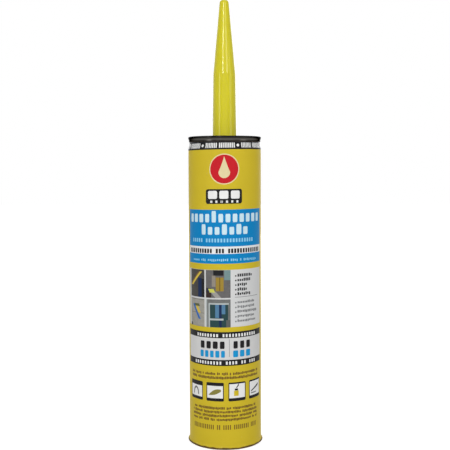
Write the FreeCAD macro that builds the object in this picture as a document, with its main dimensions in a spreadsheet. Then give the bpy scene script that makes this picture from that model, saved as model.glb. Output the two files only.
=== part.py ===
import FreeCAD
import Part
import Sketcher
import enum
import math
import os

# A caulk cartridge standing on its rear rim: a wound fibre tube with a printed paper label,
# a pressed steel end crimped on its front, a moulded nozzle clamped under that end, a foil
# seal below the nozzle, the sealant, and the plunger that a caulking gun pushes.
# Millimetres. +Z runs up the tube's axis, z = 0 is the plane of the rear rim, -Y is the front.

SIZES = {
    # fibre tube
    "cartridge_height": 211.4,     # rear rim to the crown of the steel end
    "bore_radius": 23.5,
    "tube_wall": 1.35,
    "neck_length": 4.4,            # the wall is squeezed in over this height below the steel end
    "neck_squeeze": 0.75,          # how far it is squeezed in
    "neck_angle": 22.0,
    "neck_bend": 3.0,
    "neck_root_bend": 2.0,
    # flared rear rim
    "flare_reach": 1.05,           # how far the rim stands out past the label
    "flare_angle": 35.0,
    "flare_bend": 5.0,
    "foot_trim": 0.2,              # how much of the cut edge is pressed flat
    # label
    "label_thickness": 0.15,
    "label_margin": 0.1,           # bare tube between the label and the steel end
    "lap_width": 6.5,              # where the label is glued over itself, at the back
    # steel end
    "steel_gauge": 0.25,
    "skirt_depth": 3.6,
    "skirt_stand": 0.42,           # how far the skirt's foot stands out past the squeezed label
    "skirt_land": 1.2,             # height of the skirt below its step
    "skirt_step": 1.2,             # height of the step, where the skirt widens to the rim
    "skirt_bend": 0.5,
    "rim_stand": 0.12,             # how far the rim stands out past the label
    "crown_bend": 0.65,
    "groove_depth": 7.0,           # crown to the floor of the ring groove
    "groove_width": 1.8,
    "groove_bend": 0.6,
    "panel_depth": 5.5,            # crown to the flat panel
    "dome_height": 1.7,
    "dome_run": 0.7,               # how far the dome's side leans in
    "dome_bend": 0.5,
    "collar_height": 1.5,
    "collar_clearance": 0.05,
    # nozzle
    "nozzle_root_radius": 8.4,
    "nozzle_knee_radius": 7.7,
    "nozzle_tip_radius": 3.0,
    "stem_length": 46.65,
    "cone_length": 50.5,
    "knee_bend": 20.0,
    "tip_bend": 2.3,
    "nozzle_wall": 1.3,
    "tip_wall": 1.8,
    "flange_radius": 12.6,
    "flange_thickness": 1.5,
    "flange_clearance": 0.35,      # between the flange's rim and the steel dome round it
    # foil seal
    "seal_margin": 2.1,            # flange left bare round the foil
    "seal_thickness": 0.12,
    # sealant
    "sealant_clearance": 0.1,
    "sealant_gap": 0.3,            # between the sealant and the plunger, which slides
    # plunger
    "plunger_recess": 11.0,        # rear rim to the plunger's rear edge
    "plunger_height": 18.0,
    "lip_clearance": 0.08,
    "lip_land": 1.2,
    "lip_taper": 1.2,              # height over which a lip narrows to the skirt
    "lip_bend": 0.3,
    "lip_stand": 0.62,             # how far the lips stand out past the skirt
    "lip_groove_width": 1.2,
    "lip_groove_depth": 1.1,
    "skirt_wall": 1.4,
    "socket_depth": 11.0,          # the socket takes the push plate of the gun
    "ledge_width": 1.2,            # the ledge that the push plate bears on
    "waist_relief": 0.9,
    "waist_height": 2.6,
    "web_thickness": 1.6,
    "shoulder_width": 1.2,
    "boss_height": 1.3,
    "boss_run": 0.6,               # how far the boss's side leans in
    "rib_thickness": 1.2,
    "hub_radius": 4.0,
    "rib_count": 8.0,
}

XZ_ROLE = "XZ_Plane"
YZ_ROLE = "YZ_Plane"
FULL_TURN = 360.0
DEGREES_PER_RADIAN = math.degrees(1.0)


class End(enum.IntEnum):
    """The ends of a line or an arc, by the numbers that a sketch gives them."""

    START = 1
    FINISH = 2


class Axis(enum.IntEnum):
    """A sketch's own axes, by the numbers that it gives them."""

    ACROSS = -1
    UP = -2


SKETCH_ORIGIN = (Axis.ACROSS, End.START)


class Size:
    """A length with the formula that binds it to the spreadsheet, so that each is written once."""

    def __init__(self, value, formula):
        self.value = value
        self.formula = formula

    def _join(self, other, sign, value):
        return Size(value, "(%s %s %s)" % (self.formula, sign, other.formula))

    def __add__(self, other):
        other = as_size(other)
        return self._join(other, "+", self.value + other.value)

    def __sub__(self, other):
        other = as_size(other)
        return self._join(other, "-", self.value - other.value)

    def __mul__(self, other):
        other = as_size(other)
        return self._join(other, "*", self.value * other.value)

    def __truediv__(self, other):
        other = as_size(other)
        return self._join(other, "/", self.value / other.value)


def as_size(number):
    """A plain number as a Size."""
    if isinstance(number, Size):
        return number
    return Size(float(number), repr(float(number)))


def sine(angle):
    return Size(math.sin(math.radians(angle.value)), "sin(%s)" % angle.formula)


def cosine(angle):
    return Size(math.cos(math.radians(angle.value)), "cos(%s)" % angle.formula)


def tangent(angle):
    return Size(math.tan(math.radians(angle.value)), "tan(%s)" % angle.formula)


class Corner:
    """One corner of an outline: its radius from the axis, its height and its bend radius."""

    def __init__(self, across, up, bend=None):
        self.across = as_size(across)
        self.up = as_size(up)
        self.bend = bend

    def point(self):
        return FreeCAD.Vector(self.across.value, self.up.value, 0.0)


def make_sizes(doc):
    """The spreadsheet of driving dimensions, and a Size for each of its aliases."""
    sheet = doc.addObject("Spreadsheet::Sheet", "Sizes")
    named = {}
    for row, (alias, value) in enumerate(SIZES.items(), start=1):
        cell = "B%d" % row
        sheet.set("A%d" % row, alias)
        sheet.set(cell, str(value))
        sheet.setAlias(cell, alias)
        named[alias] = Size(value, "Sizes." + alias)
    doc.recompute()
    return named


def origin_plane(body, role):
    for feature in body.Origin.OriginFeatures:
        if feature.Role == role:
            return feature
    raise ValueError("no origin plane with the role " + role)


def new_sketch(body, name, role):
    sketch = body.newObject("Sketcher::SketchObject", name)
    sketch.AttachmentSupport = [(origin_plane(body, role), "")]
    sketch.MapMode = "FlatFace"
    return sketch


def bind(sketch, constraint, size):
    """Adds a dimension to the sketch and ties it to the size's formula."""
    index = sketch.addConstraint(constraint)
    sketch.setExpression("Constraints[%d]" % index, size.formula)


def place_point(sketch, geometry, end, corner):
    """Fixes a point at a corner's radius and height. A point on an axis lies on that axis."""
    if corner.across.value == 0.0:
        sketch.addConstraint(Sketcher.Constraint("PointOnObject", geometry, end, Axis.UP))
    else:
        across = Sketcher.Constraint("DistanceX", *SKETCH_ORIGIN, geometry, end, corner.across.value)
        bind(sketch, across, corner.across)
    if corner.up.value == 0.0:
        sketch.addConstraint(Sketcher.Constraint("PointOnObject", geometry, end, Axis.ACROSS))
    else:
        up = Sketcher.Constraint("DistanceY", *SKETCH_ORIGIN, geometry, end, corner.up.value)
        bind(sketch, up, corner.up)


def tangent_length(before, corner, after):
    """How far a corner's bend reaches along the lines on its two sides."""
    if corner.bend is None:
        return 0.0
    incoming = (corner.point() - before.point()).normalize()
    outgoing = (after.point() - corner.point()).normalize()
    return corner.bend.value * math.tan(incoming.getAngle(outgoing) / 2.0)


def bend_arc(corner, start, end):
    """The arc that rounds a corner, and whether it runs from start to end anticlockwise."""
    into = (corner.point() - start).normalize()
    out = (end - corner.point()).normalize()
    anticlockwise = into.cross(out).z > 0.0
    side = FreeCAD.Vector(-into.y, into.x, 0.0) if anticlockwise else FreeCAD.Vector(into.y, -into.x, 0.0)
    centre = start + side * corner.bend.value
    first, last = (start, end) if anticlockwise else (end, start)
    angles = [math.atan2(spot.y - centre.y, spot.x - centre.x) for spot in (first, last)]
    circle = Part.Circle(centre, FreeCAD.Vector(0.0, 0.0, 1.0), corner.bend.value)
    return Part.ArcOfCircle(circle, angles[0], angles[1]), anticlockwise


def draw_outline(sketch, corners):
    """Draws a closed outline through the corners, rounded where a corner has a bend, and binds it."""
    count = len(corners)
    reach = [tangent_length(corners[i - 1], corners[i], corners[(i + 1) % count]) for i in range(count)]
    lines = []
    spots = []
    for i in range(count):
        here = corners[i].point()
        there = corners[(i + 1) % count].point()
        along = (there - here).normalize()
        first = here + along * reach[i]
        last = there - along * reach[(i + 1) % count]
        spots.append((first, last))
        lines.append(sketch.addGeometry(Part.LineSegment(first, last), False))
    for i in range(count):
        corner = corners[i]
        before, after = lines[i - 1], lines[i]
        if corner.bend is None:
            sketch.addConstraint(Sketcher.Constraint("Coincident", before, End.FINISH, after, End.START))
            place_point(sketch, after, End.START, corner)
            continue
        arc, anticlockwise = bend_arc(corner, spots[i - 1][1], spots[i][0])
        bend = sketch.addGeometry(arc, False)
        entry, leave = (End.START, End.FINISH) if anticlockwise else (End.FINISH, End.START)
        sketch.addConstraint(Sketcher.Constraint("Tangent", before, End.FINISH, bend, entry))
        sketch.addConstraint(Sketcher.Constraint("Tangent", after, End.START, bend, leave))
        bind(sketch, Sketcher.Constraint("Radius", bend, corner.bend.value), corner.bend)
        mark = sketch.addGeometry(Part.Point(corner.point()), True)
        sketch.addConstraint(Sketcher.Constraint("PointOnObject", mark, End.START, before))
        sketch.addConstraint(Sketcher.Constraint("PointOnObject", mark, End.START, after))
        place_point(sketch, mark, End.START, corner)


def revolve(body, name, corners, role=XZ_ROLE, angle=FULL_TURN):
    """Adds a closed outline turned about the tube's axis. A part turn is centred on its plane."""
    sketch = new_sketch(body, name + "_outline", role)
    draw_outline(sketch, corners)
    turn = body.newObject("PartDesign::Revolution", name)
    turn.Profile = sketch
    turn.ReferenceAxis = (sketch, ["V_Axis"])
    if isinstance(angle, Size):
        turn.Angle = angle.value
        turn.Midplane = True
        turn.setExpression("Angle", angle.formula)
    else:
        turn.Angle = angle
    return turn


def wall_radius(s, depth):
    """Radius of the surface that lies this deep under the label's outer face."""
    return s["bore_radius"] + s["tube_wall"] + s["label_thickness"] - depth


def whole_wall(s):
    """Thickness of the tube with its label."""
    return s["tube_wall"] + s["label_thickness"]


def flare_edge_height(s):
    """Height of the label's outer edge on the flared rim."""
    return whole_wall(s) * sine(s["flare_angle"]) - s["foot_trim"]


def flare_corner(s, depth):
    """Corner between the straight wall and the flare, for the surface at this depth."""
    height = flare_edge_height(s) + s["flare_reach"] / tangent(s["flare_angle"])
    drop = depth * tangent(s["flare_angle"] / 2.0)
    return Corner(wall_radius(s, depth), height - drop, s["flare_bend"] + depth)


def flare_end(s, depth):
    """End of that surface on the rim's cut edge, which is square to the flared wall."""
    reach = wall_radius(s, 0.0) + s["flare_reach"]
    across = reach - depth * cosine(s["flare_angle"])
    return Corner(across, flare_edge_height(s) - depth * sine(s["flare_angle"]))


def skirt_foot_height(s):
    """Height of the lower edge of the steel end's skirt."""
    return s["cartridge_height"] - s["skirt_depth"]


def neck_corner(s, depth):
    """Corner between the straight wall and the slope of the neck, for the surface at this depth."""
    start = skirt_foot_height(s) - s["neck_length"]
    drop = depth * tangent(s["neck_angle"] / 2.0)
    return Corner(wall_radius(s, depth), start - drop, s["neck_bend"] - depth)


def neck_root(s, depth):
    """Corner between that slope and the squeezed neck, which is upright."""
    start = neck_corner(s, depth)
    rise = s["neck_squeeze"] / tangent(s["neck_angle"])
    return Corner(start.across - s["neck_squeeze"], start.up + rise, s["neck_root_bend"] + depth)


def neck_point(s, depth, height):
    """The point of the squeezed neck at this height."""
    return Corner(neck_root(s, depth).across, height)


def rim_radius(s):
    """Outer radius of the steel rim."""
    return wall_radius(s, 0.0) + s["rim_stand"]


def skirt_points(s, depth):
    """Foot and step of the steel skirt, for the surface at this depth under its outer face."""
    foot = skirt_foot_height(s)
    radius = neck_root(s, as_size(0.0)).across + s["skirt_stand"] - depth
    step = foot + s["skirt_land"]
    return [
        Corner(radius, foot),
        Corner(radius, step, s["skirt_bend"] + depth),
        Corner(rim_radius(s) - depth, step + s["skirt_step"], s["skirt_bend"] + s["steel_gauge"] - depth),
    ]


def cartridge_tube(doc, s):
    """The wound fibre tube: flared at the rear, squeezed in and gripped by the end at the front."""
    body = doc.addObject("PartDesign::Body", "cartridge_tube")
    skin = s["label_thickness"]
    inside = whole_wall(s)
    top = s["cartridge_height"] - s["steel_gauge"]
    edge_bend = s["crown_bend"] - s["steel_gauge"]
    foot_depth = flare_edge_height(s) / sine(s["flare_angle"])
    foot_outer = flare_end(s, foot_depth).across
    foot_inner = flare_end(s, inside).across - s["foot_trim"] * tangent(s["flare_angle"])
    neck = neck_point(s, skin, skirt_foot_height(s))
    _, low_step, high_step = skirt_points(s, s["steel_gauge"])
    revolve(body, "wound_wall", [
        Corner(foot_inner, 0.0),
        Corner(foot_outer, 0.0),
        flare_end(s, skin),
        flare_corner(s, skin),
        neck_corner(s, skin),
        neck_root(s, skin),
        neck,
        Corner(low_step.across, neck.up + low_step.across - neck.across),
        low_step,
        high_step,
        Corner(rim_radius(s) - s["steel_gauge"], top, edge_bend),
        Corner(s["bore_radius"], top, edge_bend),
        flare_corner(s, inside),
    ])
    return body


def printed_label(doc, s):
    """The paper label round the tube, glued over itself in a narrow lap at the back."""
    body = doc.addObject("PartDesign::Body", "printed_label")
    outer = as_size(0.0)
    skin = s["label_thickness"]
    lap = outer - skin
    lap_angle = s["lap_width"] / wall_radius(s, outer) * DEGREES_PER_RADIAN
    for name, face, role, angle in [
            ("wrap", outer, XZ_ROLE, FULL_TURN),
            ("glued_lap", lap, YZ_ROLE, lap_angle)]:
        top = skirt_foot_height(s) - s["label_margin"]
        revolve(body, name, [
            flare_end(s, skin),
            flare_end(s, face),
            flare_corner(s, face),
            neck_corner(s, face),
            neck_root(s, face),
            neck_point(s, face, top),
            neck_point(s, skin, top),
            neck_root(s, skin),
            neck_corner(s, skin),
            flare_corner(s, skin),
        ], role, angle)
    return body


def end_levels(s):
    """Heights of the steel end's upper face: its groove floor, its panel and its dome."""
    groove = s["cartridge_height"] - s["groove_depth"]
    panel = s["cartridge_height"] - s["panel_depth"]
    return groove, panel, panel + s["dome_height"]


def groove_radii(s):
    """Outer and inner radius of the ring groove, seen from above."""
    outer = s["bore_radius"] - s["steel_gauge"]
    return outer, outer - s["groove_width"]


def dome_radii(s):
    """Radius of the dome's upper face at its foot and at its head, clear of the flange inside."""
    head = s["flange_radius"] + s["flange_clearance"] + s["steel_gauge"]
    return head + s["dome_run"], head


def steel_end(doc, s):
    """The pressed end: crimped skirt, rim, ring groove, panel, and a dome with a turned-up collar."""
    body = doc.addObject("PartDesign::Body", "steel_end")
    gauge = s["steel_gauge"]
    crown = s["cartridge_height"]
    groove, panel, dome = end_levels(s)
    groove_outer, groove_inner = groove_radii(s)
    dome_foot, dome_head = dome_radii(s)
    collar = s["nozzle_root_radius"] + s["collar_clearance"]
    collar_top = dome + s["collar_height"]
    rim = rim_radius(s)
    ring_tight, ring_easy = s["groove_bend"], s["groove_bend"] + gauge
    tight, easy = s["dome_bend"], s["dome_bend"] + gauge
    inner_skirt = skirt_points(s, gauge)
    revolve(body, "pressing", [
        *skirt_points(s, as_size(0.0)),
        Corner(rim, crown, s["crown_bend"]),
        Corner(groove_outer, crown, s["crown_bend"]),
        Corner(groove_outer, groove, ring_tight),
        Corner(groove_inner, groove, ring_tight),
        Corner(groove_inner, panel, ring_easy),
        Corner(dome_foot, panel, tight),
        Corner(dome_head, dome, easy),
        Corner(collar + gauge, dome, tight),
        Corner(collar + gauge, collar_top),
        Corner(collar, collar_top),
        Corner(collar, dome - gauge, easy),
        Corner(dome_head - gauge, dome - gauge, tight),
        Corner(dome_foot - gauge, panel - gauge, easy),
        Corner(groove_inner - gauge, panel - gauge, ring_tight),
        Corner(groove_inner - gauge, groove - gauge, ring_easy),
        Corner(groove_outer + gauge, groove - gauge, ring_easy),
        Corner(groove_outer + gauge, crown - gauge, s["crown_bend"] - gauge),
        Corner(rim - gauge, crown - gauge, s["crown_bend"] - gauge),
        *reversed(inner_skirt),
    ])
    return body


def flange_levels(s):
    """Heights of the nozzle's flange: its face against the steel dome, and its foot."""
    seat = end_levels(s)[2] - s["steel_gauge"]
    return seat, seat - s["flange_thickness"]


def nozzle(doc, s):
    """The moulded nozzle: a flange, a slightly tapered stem, a long cone and a closed tip."""
    body = doc.addObject("PartDesign::Body", "nozzle")
    axis = as_size(0.0)
    wall = s["nozzle_wall"]
    seat, foot = flange_levels(s)
    knee = seat + s["stem_length"]
    tip = knee + s["cone_length"]
    bore_top = tip - s["tip_wall"]
    revolve(body, "moulding", [
        Corner(s["nozzle_root_radius"] - wall, foot),
        Corner(s["flange_radius"], foot),
        Corner(s["flange_radius"], seat),
        Corner(s["nozzle_root_radius"], seat),
        Corner(s["nozzle_knee_radius"], knee, s["knee_bend"]),
        Corner(s["nozzle_tip_radius"], tip, s["tip_bend"]),
        Corner(axis, tip),
        Corner(axis, bore_top),
        Corner(s["nozzle_tip_radius"] - wall, bore_top),
        Corner(s["nozzle_knee_radius"] - wall, knee, s["knee_bend"]),
    ])
    return body


def nozzle_seal(doc, s):
    """The foil disc bonded across the nozzle's flange, pierced before use."""
    disc = doc.addObject("Part::Cylinder", "nozzle_seal")
    radius = s["flange_radius"] - s["seal_margin"]
    height = flange_levels(s)[1] - s["seal_thickness"]
    disc.setExpression("Radius", radius.formula)
    disc.setExpression("Height", s["seal_thickness"].formula)
    disc.setExpression("Placement.Base.z", height.formula)
    return disc


def plunger_levels(s):
    """Heights of the plunger: its rear edge, the ledge in its socket, and the face at its lip."""
    rear = s["plunger_recess"]
    return rear, rear + s["socket_depth"], rear + s["plunger_height"]


def lip_radii(s):
    """Radius of the plunger's lips, and the outer and inner edge of the groove behind the front one."""
    lip = s["bore_radius"] - s["lip_clearance"]
    groove_outer = lip - s["lip_groove_width"] / 2.0
    return lip, groove_outer, groove_outer - s["lip_groove_width"]


def boss_radii(s):
    """Radius of the plunger's raised front at its foot and at its head."""
    foot = lip_radii(s)[2] - s["shoulder_width"]
    return foot, foot - s["boss_run"]


def sealant(doc, s):
    """The sealant: it fills the bore from the plunger up to the steel end and the foil seal."""
    body = doc.addObject("PartDesign::Body", "sealant")
    axis = as_size(0.0)
    clear, gap = s["sealant_clearance"], s["sealant_gap"]
    groove, panel, _ = end_levels(s)
    boss_foot, boss_head = boss_radii(s)
    lip = plunger_levels(s)[2]
    boss = lip + s["boss_height"]
    radius = s["bore_radius"] - clear
    under = s["steel_gauge"] + clear
    crest_radius = groove_radii(s)[1] - under
    seal_radius = s["flange_radius"] + clear
    seal_foot = flange_levels(s)[1] - s["seal_thickness"] - clear
    revolve(body, "filling", [
        Corner(axis, boss + gap),
        Corner(boss_head + gap, boss + gap),
        Corner(boss_foot + gap, lip + gap),
        Corner(radius, lip + gap),
        Corner(radius, groove - under),
        Corner(crest_radius, groove - under),
        Corner(crest_radius, panel - under, s["groove_bend"] - clear),
        Corner(seal_radius, panel - under),
        Corner(seal_radius, seal_foot),
        Corner(axis, seal_foot),
    ])
    return body


def plunger(doc, s):
    """The plunger: two sealing lips, a ribbed web, and a socket that takes the gun's push plate."""
    body = doc.addObject("PartDesign::Body", "plunger")
    axis = as_size(0.0)
    rear, ledge, lip = plunger_levels(s)
    lip_radius, groove_outer, groove_inner = lip_radii(s)
    boss_foot, boss_head = boss_radii(s)
    skirt = lip_radius - s["lip_stand"]
    waist = skirt - s["waist_relief"]
    socket = skirt - s["skirt_wall"]
    well = socket - s["ledge_width"]
    land, taper, bend = s["lip_land"], s["lip_taper"], s["lip_bend"]
    waist_top = lip - land - taper
    waist_foot = waist_top - s["waist_height"]
    web_foot = lip - s["web_thickness"]
    boss = lip + s["boss_height"]
    revolve(body, "cup", [
        Corner(socket, rear),
        Corner(lip_radius, rear, bend),
        Corner(lip_radius, rear + land, bend),
        Corner(skirt, rear + land + taper),
        Corner(skirt, waist_foot - taper),
        Corner(waist, waist_foot),
        Corner(waist, waist_top),
        Corner(lip_radius, waist_top + taper, bend),
        Corner(lip_radius, lip, bend),
        Corner(groove_outer, lip),
        Corner(groove_inner, lip - s["lip_groove_depth"]),
        Corner(boss_foot, lip),
        Corner(boss_head, boss),
        Corner(axis, boss),
        Corner(axis, web_foot),
        Corner(well, web_foot),
        Corner(well, ledge),
        Corner(socket, ledge),
    ])
    rib_top = web_foot + s["web_thickness"] / 2.0
    rib_end = (well + waist) / 2.0
    rib_start = s["hub_radius"] / 2.0
    ribs = new_sketch(body, "rib_outline", YZ_ROLE)
    draw_outline(ribs, [
        Corner(rib_start, ledge),
        Corner(rib_end, ledge),
        Corner(rib_end, rib_top),
        Corner(rib_start, rib_top),
    ])
    rib = body.newObject("PartDesign::Pad", "rib")
    rib.Profile = ribs
    rib.Midplane = True
    rib.setExpression("Length", s["rib_thickness"].formula)
    doc.recompute()
    pattern = body.newObject("PartDesign::PolarPattern", "ribs")
    pattern.Originals = [rib]
    pattern.Axis = (ribs, ["V_Axis"])
    pattern.Angle = FULL_TURN
    pattern.setExpression("Occurrences", s["rib_count"].formula)
    body.Tip = pattern
    doc.recompute()
    revolve(body, "hub", [
        Corner(axis, ledge),
        Corner(s["hub_radius"], ledge),
        Corner(s["hub_radius"], rib_top),
        Corner(axis, rib_top),
    ])
    return body


def check(doc, pieces):
    """Stops if an object failed, a sketch has play, or a piece isn't one closed, valid solid."""
    for item in doc.Objects:
        if "Invalid" in item.State or "Error" in item.State:
            raise RuntimeError("%s failed: %s" % (item.Name, item.State))
        if item.TypeId == "Sketcher::SketchObject" and not item.FullyConstrained:
            raise RuntimeError(item.Name + " isn't fully constrained")
    for piece in pieces:
        shape = piece.Shape
        if shape.isNull() or not shape.isValid() or len(shape.Solids) != 1:
            raise RuntimeError(piece.Label + " isn't one valid solid")


def main():
    """Builds the cartridge and writes each of its pieces to its own file."""
    doc = FreeCAD.newDocument("caulk_tube")
    sizes = make_sizes(doc)
    makers = [cartridge_tube, printed_label, steel_end, nozzle, nozzle_seal, sealant, plunger]
    pieces = [maker(doc, sizes) for maker in makers]
    doc.recompute()
    check(doc, pieces)
    os.makedirs("parts", exist_ok=True)
    for piece in pieces:
        piece.Shape.exportStep("parts/%s.step" % piece.Label)
        print("%-15s %10.1f cubic millimetres" % (piece.Label, piece.Shape.Volume))


main()
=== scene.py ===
"""A caulk tube on a pale studio floor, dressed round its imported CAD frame."""
import logging
import math
from collections.abc import Callable, Iterable, Mapping, Sequence
from dataclasses import dataclass, field
from enum import Enum
from typing import Any

import bmesh
import bpy
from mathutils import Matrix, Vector


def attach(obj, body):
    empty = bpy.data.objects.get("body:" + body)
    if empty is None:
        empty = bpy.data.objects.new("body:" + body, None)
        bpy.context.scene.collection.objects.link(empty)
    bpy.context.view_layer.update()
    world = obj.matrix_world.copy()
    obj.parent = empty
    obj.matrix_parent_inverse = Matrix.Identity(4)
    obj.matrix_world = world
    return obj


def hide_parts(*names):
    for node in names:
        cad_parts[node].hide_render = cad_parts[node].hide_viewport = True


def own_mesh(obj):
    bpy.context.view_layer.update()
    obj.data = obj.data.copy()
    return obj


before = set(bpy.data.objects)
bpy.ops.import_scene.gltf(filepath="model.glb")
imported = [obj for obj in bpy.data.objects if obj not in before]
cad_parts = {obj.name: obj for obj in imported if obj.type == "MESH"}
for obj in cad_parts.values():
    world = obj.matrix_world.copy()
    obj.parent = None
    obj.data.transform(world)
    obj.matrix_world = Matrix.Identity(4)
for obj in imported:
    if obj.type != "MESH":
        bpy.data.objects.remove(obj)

LOG = logging.getLogger("caulk_tube")
MM = 0.001
FULL_TURN = 2.0 * math.pi
FORM_SHARP_ANGLE = math.radians(24.0)
FILM_SHARP_ANGLE = math.radians(40.0)
FORM_WELD = 1e-6
FILM_WELD = 1e-7
SHORTER_BY = 0.26
SEED_STEP = 31

Socket = bpy.types.NodeSocket
Point = tuple[float, float]
Spot = tuple[float, float, float]
Colour = tuple[float, float, float]
WHITE = (1.0, 1.0, 1.0, 1.0)


class Body(Enum):
    """The body that every rebuilt piece moves with. The plunger's body keeps its CAD node."""

    CARTRIDGE = "cartridge"


class Slot(Enum):
    """The material slots, one for each kind of rebuilt piece."""

    BOARD = "tube_board"
    PAPER = "label_paper"
    STEEL = "end_steel"
    NOZZLE = "nozzle_plastic"
    PASTE = "sealant_paste"


class Kind(Enum):
    """The kinds of node tree, each with the type that Blender gives it."""

    SHADER = "ShaderNodeTree"
    GEOMETRY = "GeometryNodeTree"


class Graph:
    """One node tree that is filled by adding nodes and joining their sockets."""

    def __init__(self, tree: bpy.types.NodeTree) -> None:
        """Takes the tree to fill."""
        self.tree = tree
        self.entry: bpy.types.Node | None = None
        self.exit: bpy.types.Node | None = None

    @classmethod
    def group(cls, name: str, kind: Kind, inputs: Mapping[str, Any], outputs: Mapping[str, str]) -> "Graph":
        """Starts a node group with named sockets.

        Args:
            name: The group's name.
            kind: Shader or geometry.
            inputs: Default value of each input, or its socket type where it has none.
            outputs: Socket type of each output.

        Returns:
            The graph of the new group.
        """
        graph = cls(bpy.data.node_groups.new(name, kind.value))
        for label, value in inputs.items():
            plain = isinstance(value, str)
            socket_type = value if plain else cls.socket_type(value)
            socket = graph.tree.interface.new_socket(label, in_out="INPUT", socket_type=socket_type)
            if not plain:
                socket.default_value = value
        for label, socket_type in outputs.items():
            graph.tree.interface.new_socket(label, in_out="OUTPUT", socket_type=socket_type)
        graph.entry = graph.tree.nodes.new("NodeGroupInput")
        graph.exit = graph.tree.nodes.new("NodeGroupOutput")
        return graph

    @staticmethod
    def socket_type(value: Any) -> str:
        """The socket type that holds a plain value."""
        if isinstance(value, int):
            return "NodeSocketInt"
        if isinstance(value, float):
            return "NodeSocketFloat"
        return "NodeSocketColor" if len(value) == 4 else "NodeSocketVector"

    def given(self, label: str) -> Socket:
        """The group's input with this name."""
        return self.entry.outputs[label]

    def give(self, label: str, value: Socket) -> None:
        """Joins a socket to the group's output with this name."""
        self.tree.links.new(value, self.exit.inputs[label])

    def feed(self, socket: Socket, value: Any) -> None:
        """Links a socket to another, or sets its own value."""
        if isinstance(value, bpy.types.NodeSocket):
            self.tree.links.new(value, socket)
        else:
            socket.default_value = value

    def add(self, kind: str, feeds: Mapping[str | int, Any] | None = None, **settings: Any) -> bpy.types.Node:
        """Adds a node.

        Args:
            kind: The node's type.
            feeds: What goes into its inputs, by name or place.
            settings: The node's own options.

        Returns:
            The new node.
        """
        node = self.tree.nodes.new(kind)
        for label, value in settings.items():
            setattr(node, label, value)
        for key, value in (feeds or {}).items():
            self.feed(node.inputs[key], value)
        return node

    def use(self, group: "Graph", feeds: Mapping[str, Any] | None = None) -> bpy.types.Node:
        """Places another group in this tree."""
        shader = isinstance(group.tree, bpy.types.ShaderNodeTree)
        return self.add("ShaderNodeGroup" if shader else "GeometryNodeGroup", feeds, node_tree=group.tree)

    def take(self, group: "Graph", feeds: Mapping[str, Any] | None = None) -> Socket:
        """What another group's first output gives."""
        return self.use(group, feeds).outputs[0]

    def math(self, operation: str, *values: Any) -> Socket:
        """One step of arithmetic."""
        return self.add("ShaderNodeMath", dict(enumerate(values)), operation=operation).outputs[0]

    def plus(self, first: Any, second: Any) -> Socket:
        """A sum."""
        return self.math("ADD", first, second)

    def minus(self, first: Any, second: Any) -> Socket:
        """A difference."""
        return self.math("SUBTRACT", first, second)

    def times(self, first: Any, second: Any) -> Socket:
        """A product."""
        return self.math("MULTIPLY", first, second)

    def over(self, first: Any, second: Any) -> Socket:
        """A quotient."""
        return self.math("DIVIDE", first, second)

    def off(self, value: Socket, middle: Any) -> Socket:
        """How far a value is from a middle."""
        return self.math("ABSOLUTE", self.minus(value, middle))

    def weighted(self, first: Socket, share: Any, second: Socket, rest: Any) -> Socket:
        """The sum of two values, each times its share."""
        return self.plus(self.times(first, share), self.times(second, rest))

    def seen(self) -> Socket:
        """Whether the light path is the camera's or a reflection's."""
        path = self.add("ShaderNodeLightPath").outputs
        return self.math("MAXIMUM", path["Is Camera Ray"], path["Is Glossy Ray"])

    def ended(self, kind: str, shader: bpy.types.Node) -> None:
        """Ends the tree in an output node of this kind."""
        self.tree.links.new(shader.outputs[0], self.add(kind).inputs[0])

    def vector(self, x: Any = 0.0, y: Any = 0.0, z: Any = 0.0) -> Socket:
        """A vector from its three parts."""
        return self.add("ShaderNodeCombineXYZ", {0: x, 1: y, 2: z}).outputs[0]

    def parts(self, vector: Socket) -> tuple[Socket, Socket, Socket]:
        """The three parts of a vector."""
        outputs = self.add("ShaderNodeSeparateXYZ", {0: vector}).outputs
        return outputs[0], outputs[1], outputs[2]

    def combine(self, operation: str, first: Any, second: Any) -> Socket:
        """Adds or multiplies two vectors part by part."""
        return self.add("ShaderNodeVectorMath", {0: first, 1: second}, operation=operation).outputs[0]

    def scaled(self, vector: Any, factor: Any) -> Socket:
        """A vector times a number."""
        return self.add("ShaderNodeVectorMath", {0: vector, 3: factor}, operation="SCALE").outputs[0]

    def fit(self, value: Socket, low: Any, high: Any, start: Any = 0.0, end: Any = 1.0) -> Socket:
        """A value carried smoothly from one range to another, and held at its ends."""
        feeds = {0: value, 1: low, 2: high, 3: start, 4: end}
        return self.add("ShaderNodeMapRange", feeds, interpolation_type="SMOOTHSTEP").outputs[0]

    def mix(self, factor: Any, first: Any, second: Any, blend: str = "MIX") -> Socket:
        """Two colours mixed by a factor."""
        feeds = {0: factor, 6: first, 7: second}
        return self.add("ShaderNodeMix", feeds, data_type="RGBA", blend_type=blend).outputs[2]

    def blend(self, factor: Any, first: Any, second: Any) -> Socket:
        """Two numbers mixed by a factor."""
        return self.add("ShaderNodeMix", {0: factor, 2: first, 3: second}, data_type="FLOAT").outputs[0]

    def shaded(self, level: Socket, colour: Any) -> Socket:
        """A colour made lighter or darker by a level."""
        return self.mix(1.0, colour, self.vector(level, level, level), "MULTIPLY")

    def noise(self, vector: Socket, scale: Any, detail: float = 3.0, roughness: float = 0.5) -> Socket:
        """A noise value between 0 and 1."""
        feeds = {"Vector": vector, "Scale": scale, "Detail": detail, "Roughness": roughness}
        return self.add("ShaderNodeTexNoise", feeds).outputs[0]


@dataclass(frozen=True)
class Corner:
    """A corner of an outline in millimetres: radius from the axis, height, and the bend that rounds it."""

    across: float
    up: float
    bend: float = 0.0


ARC_STEP = math.radians(9.0)


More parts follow.
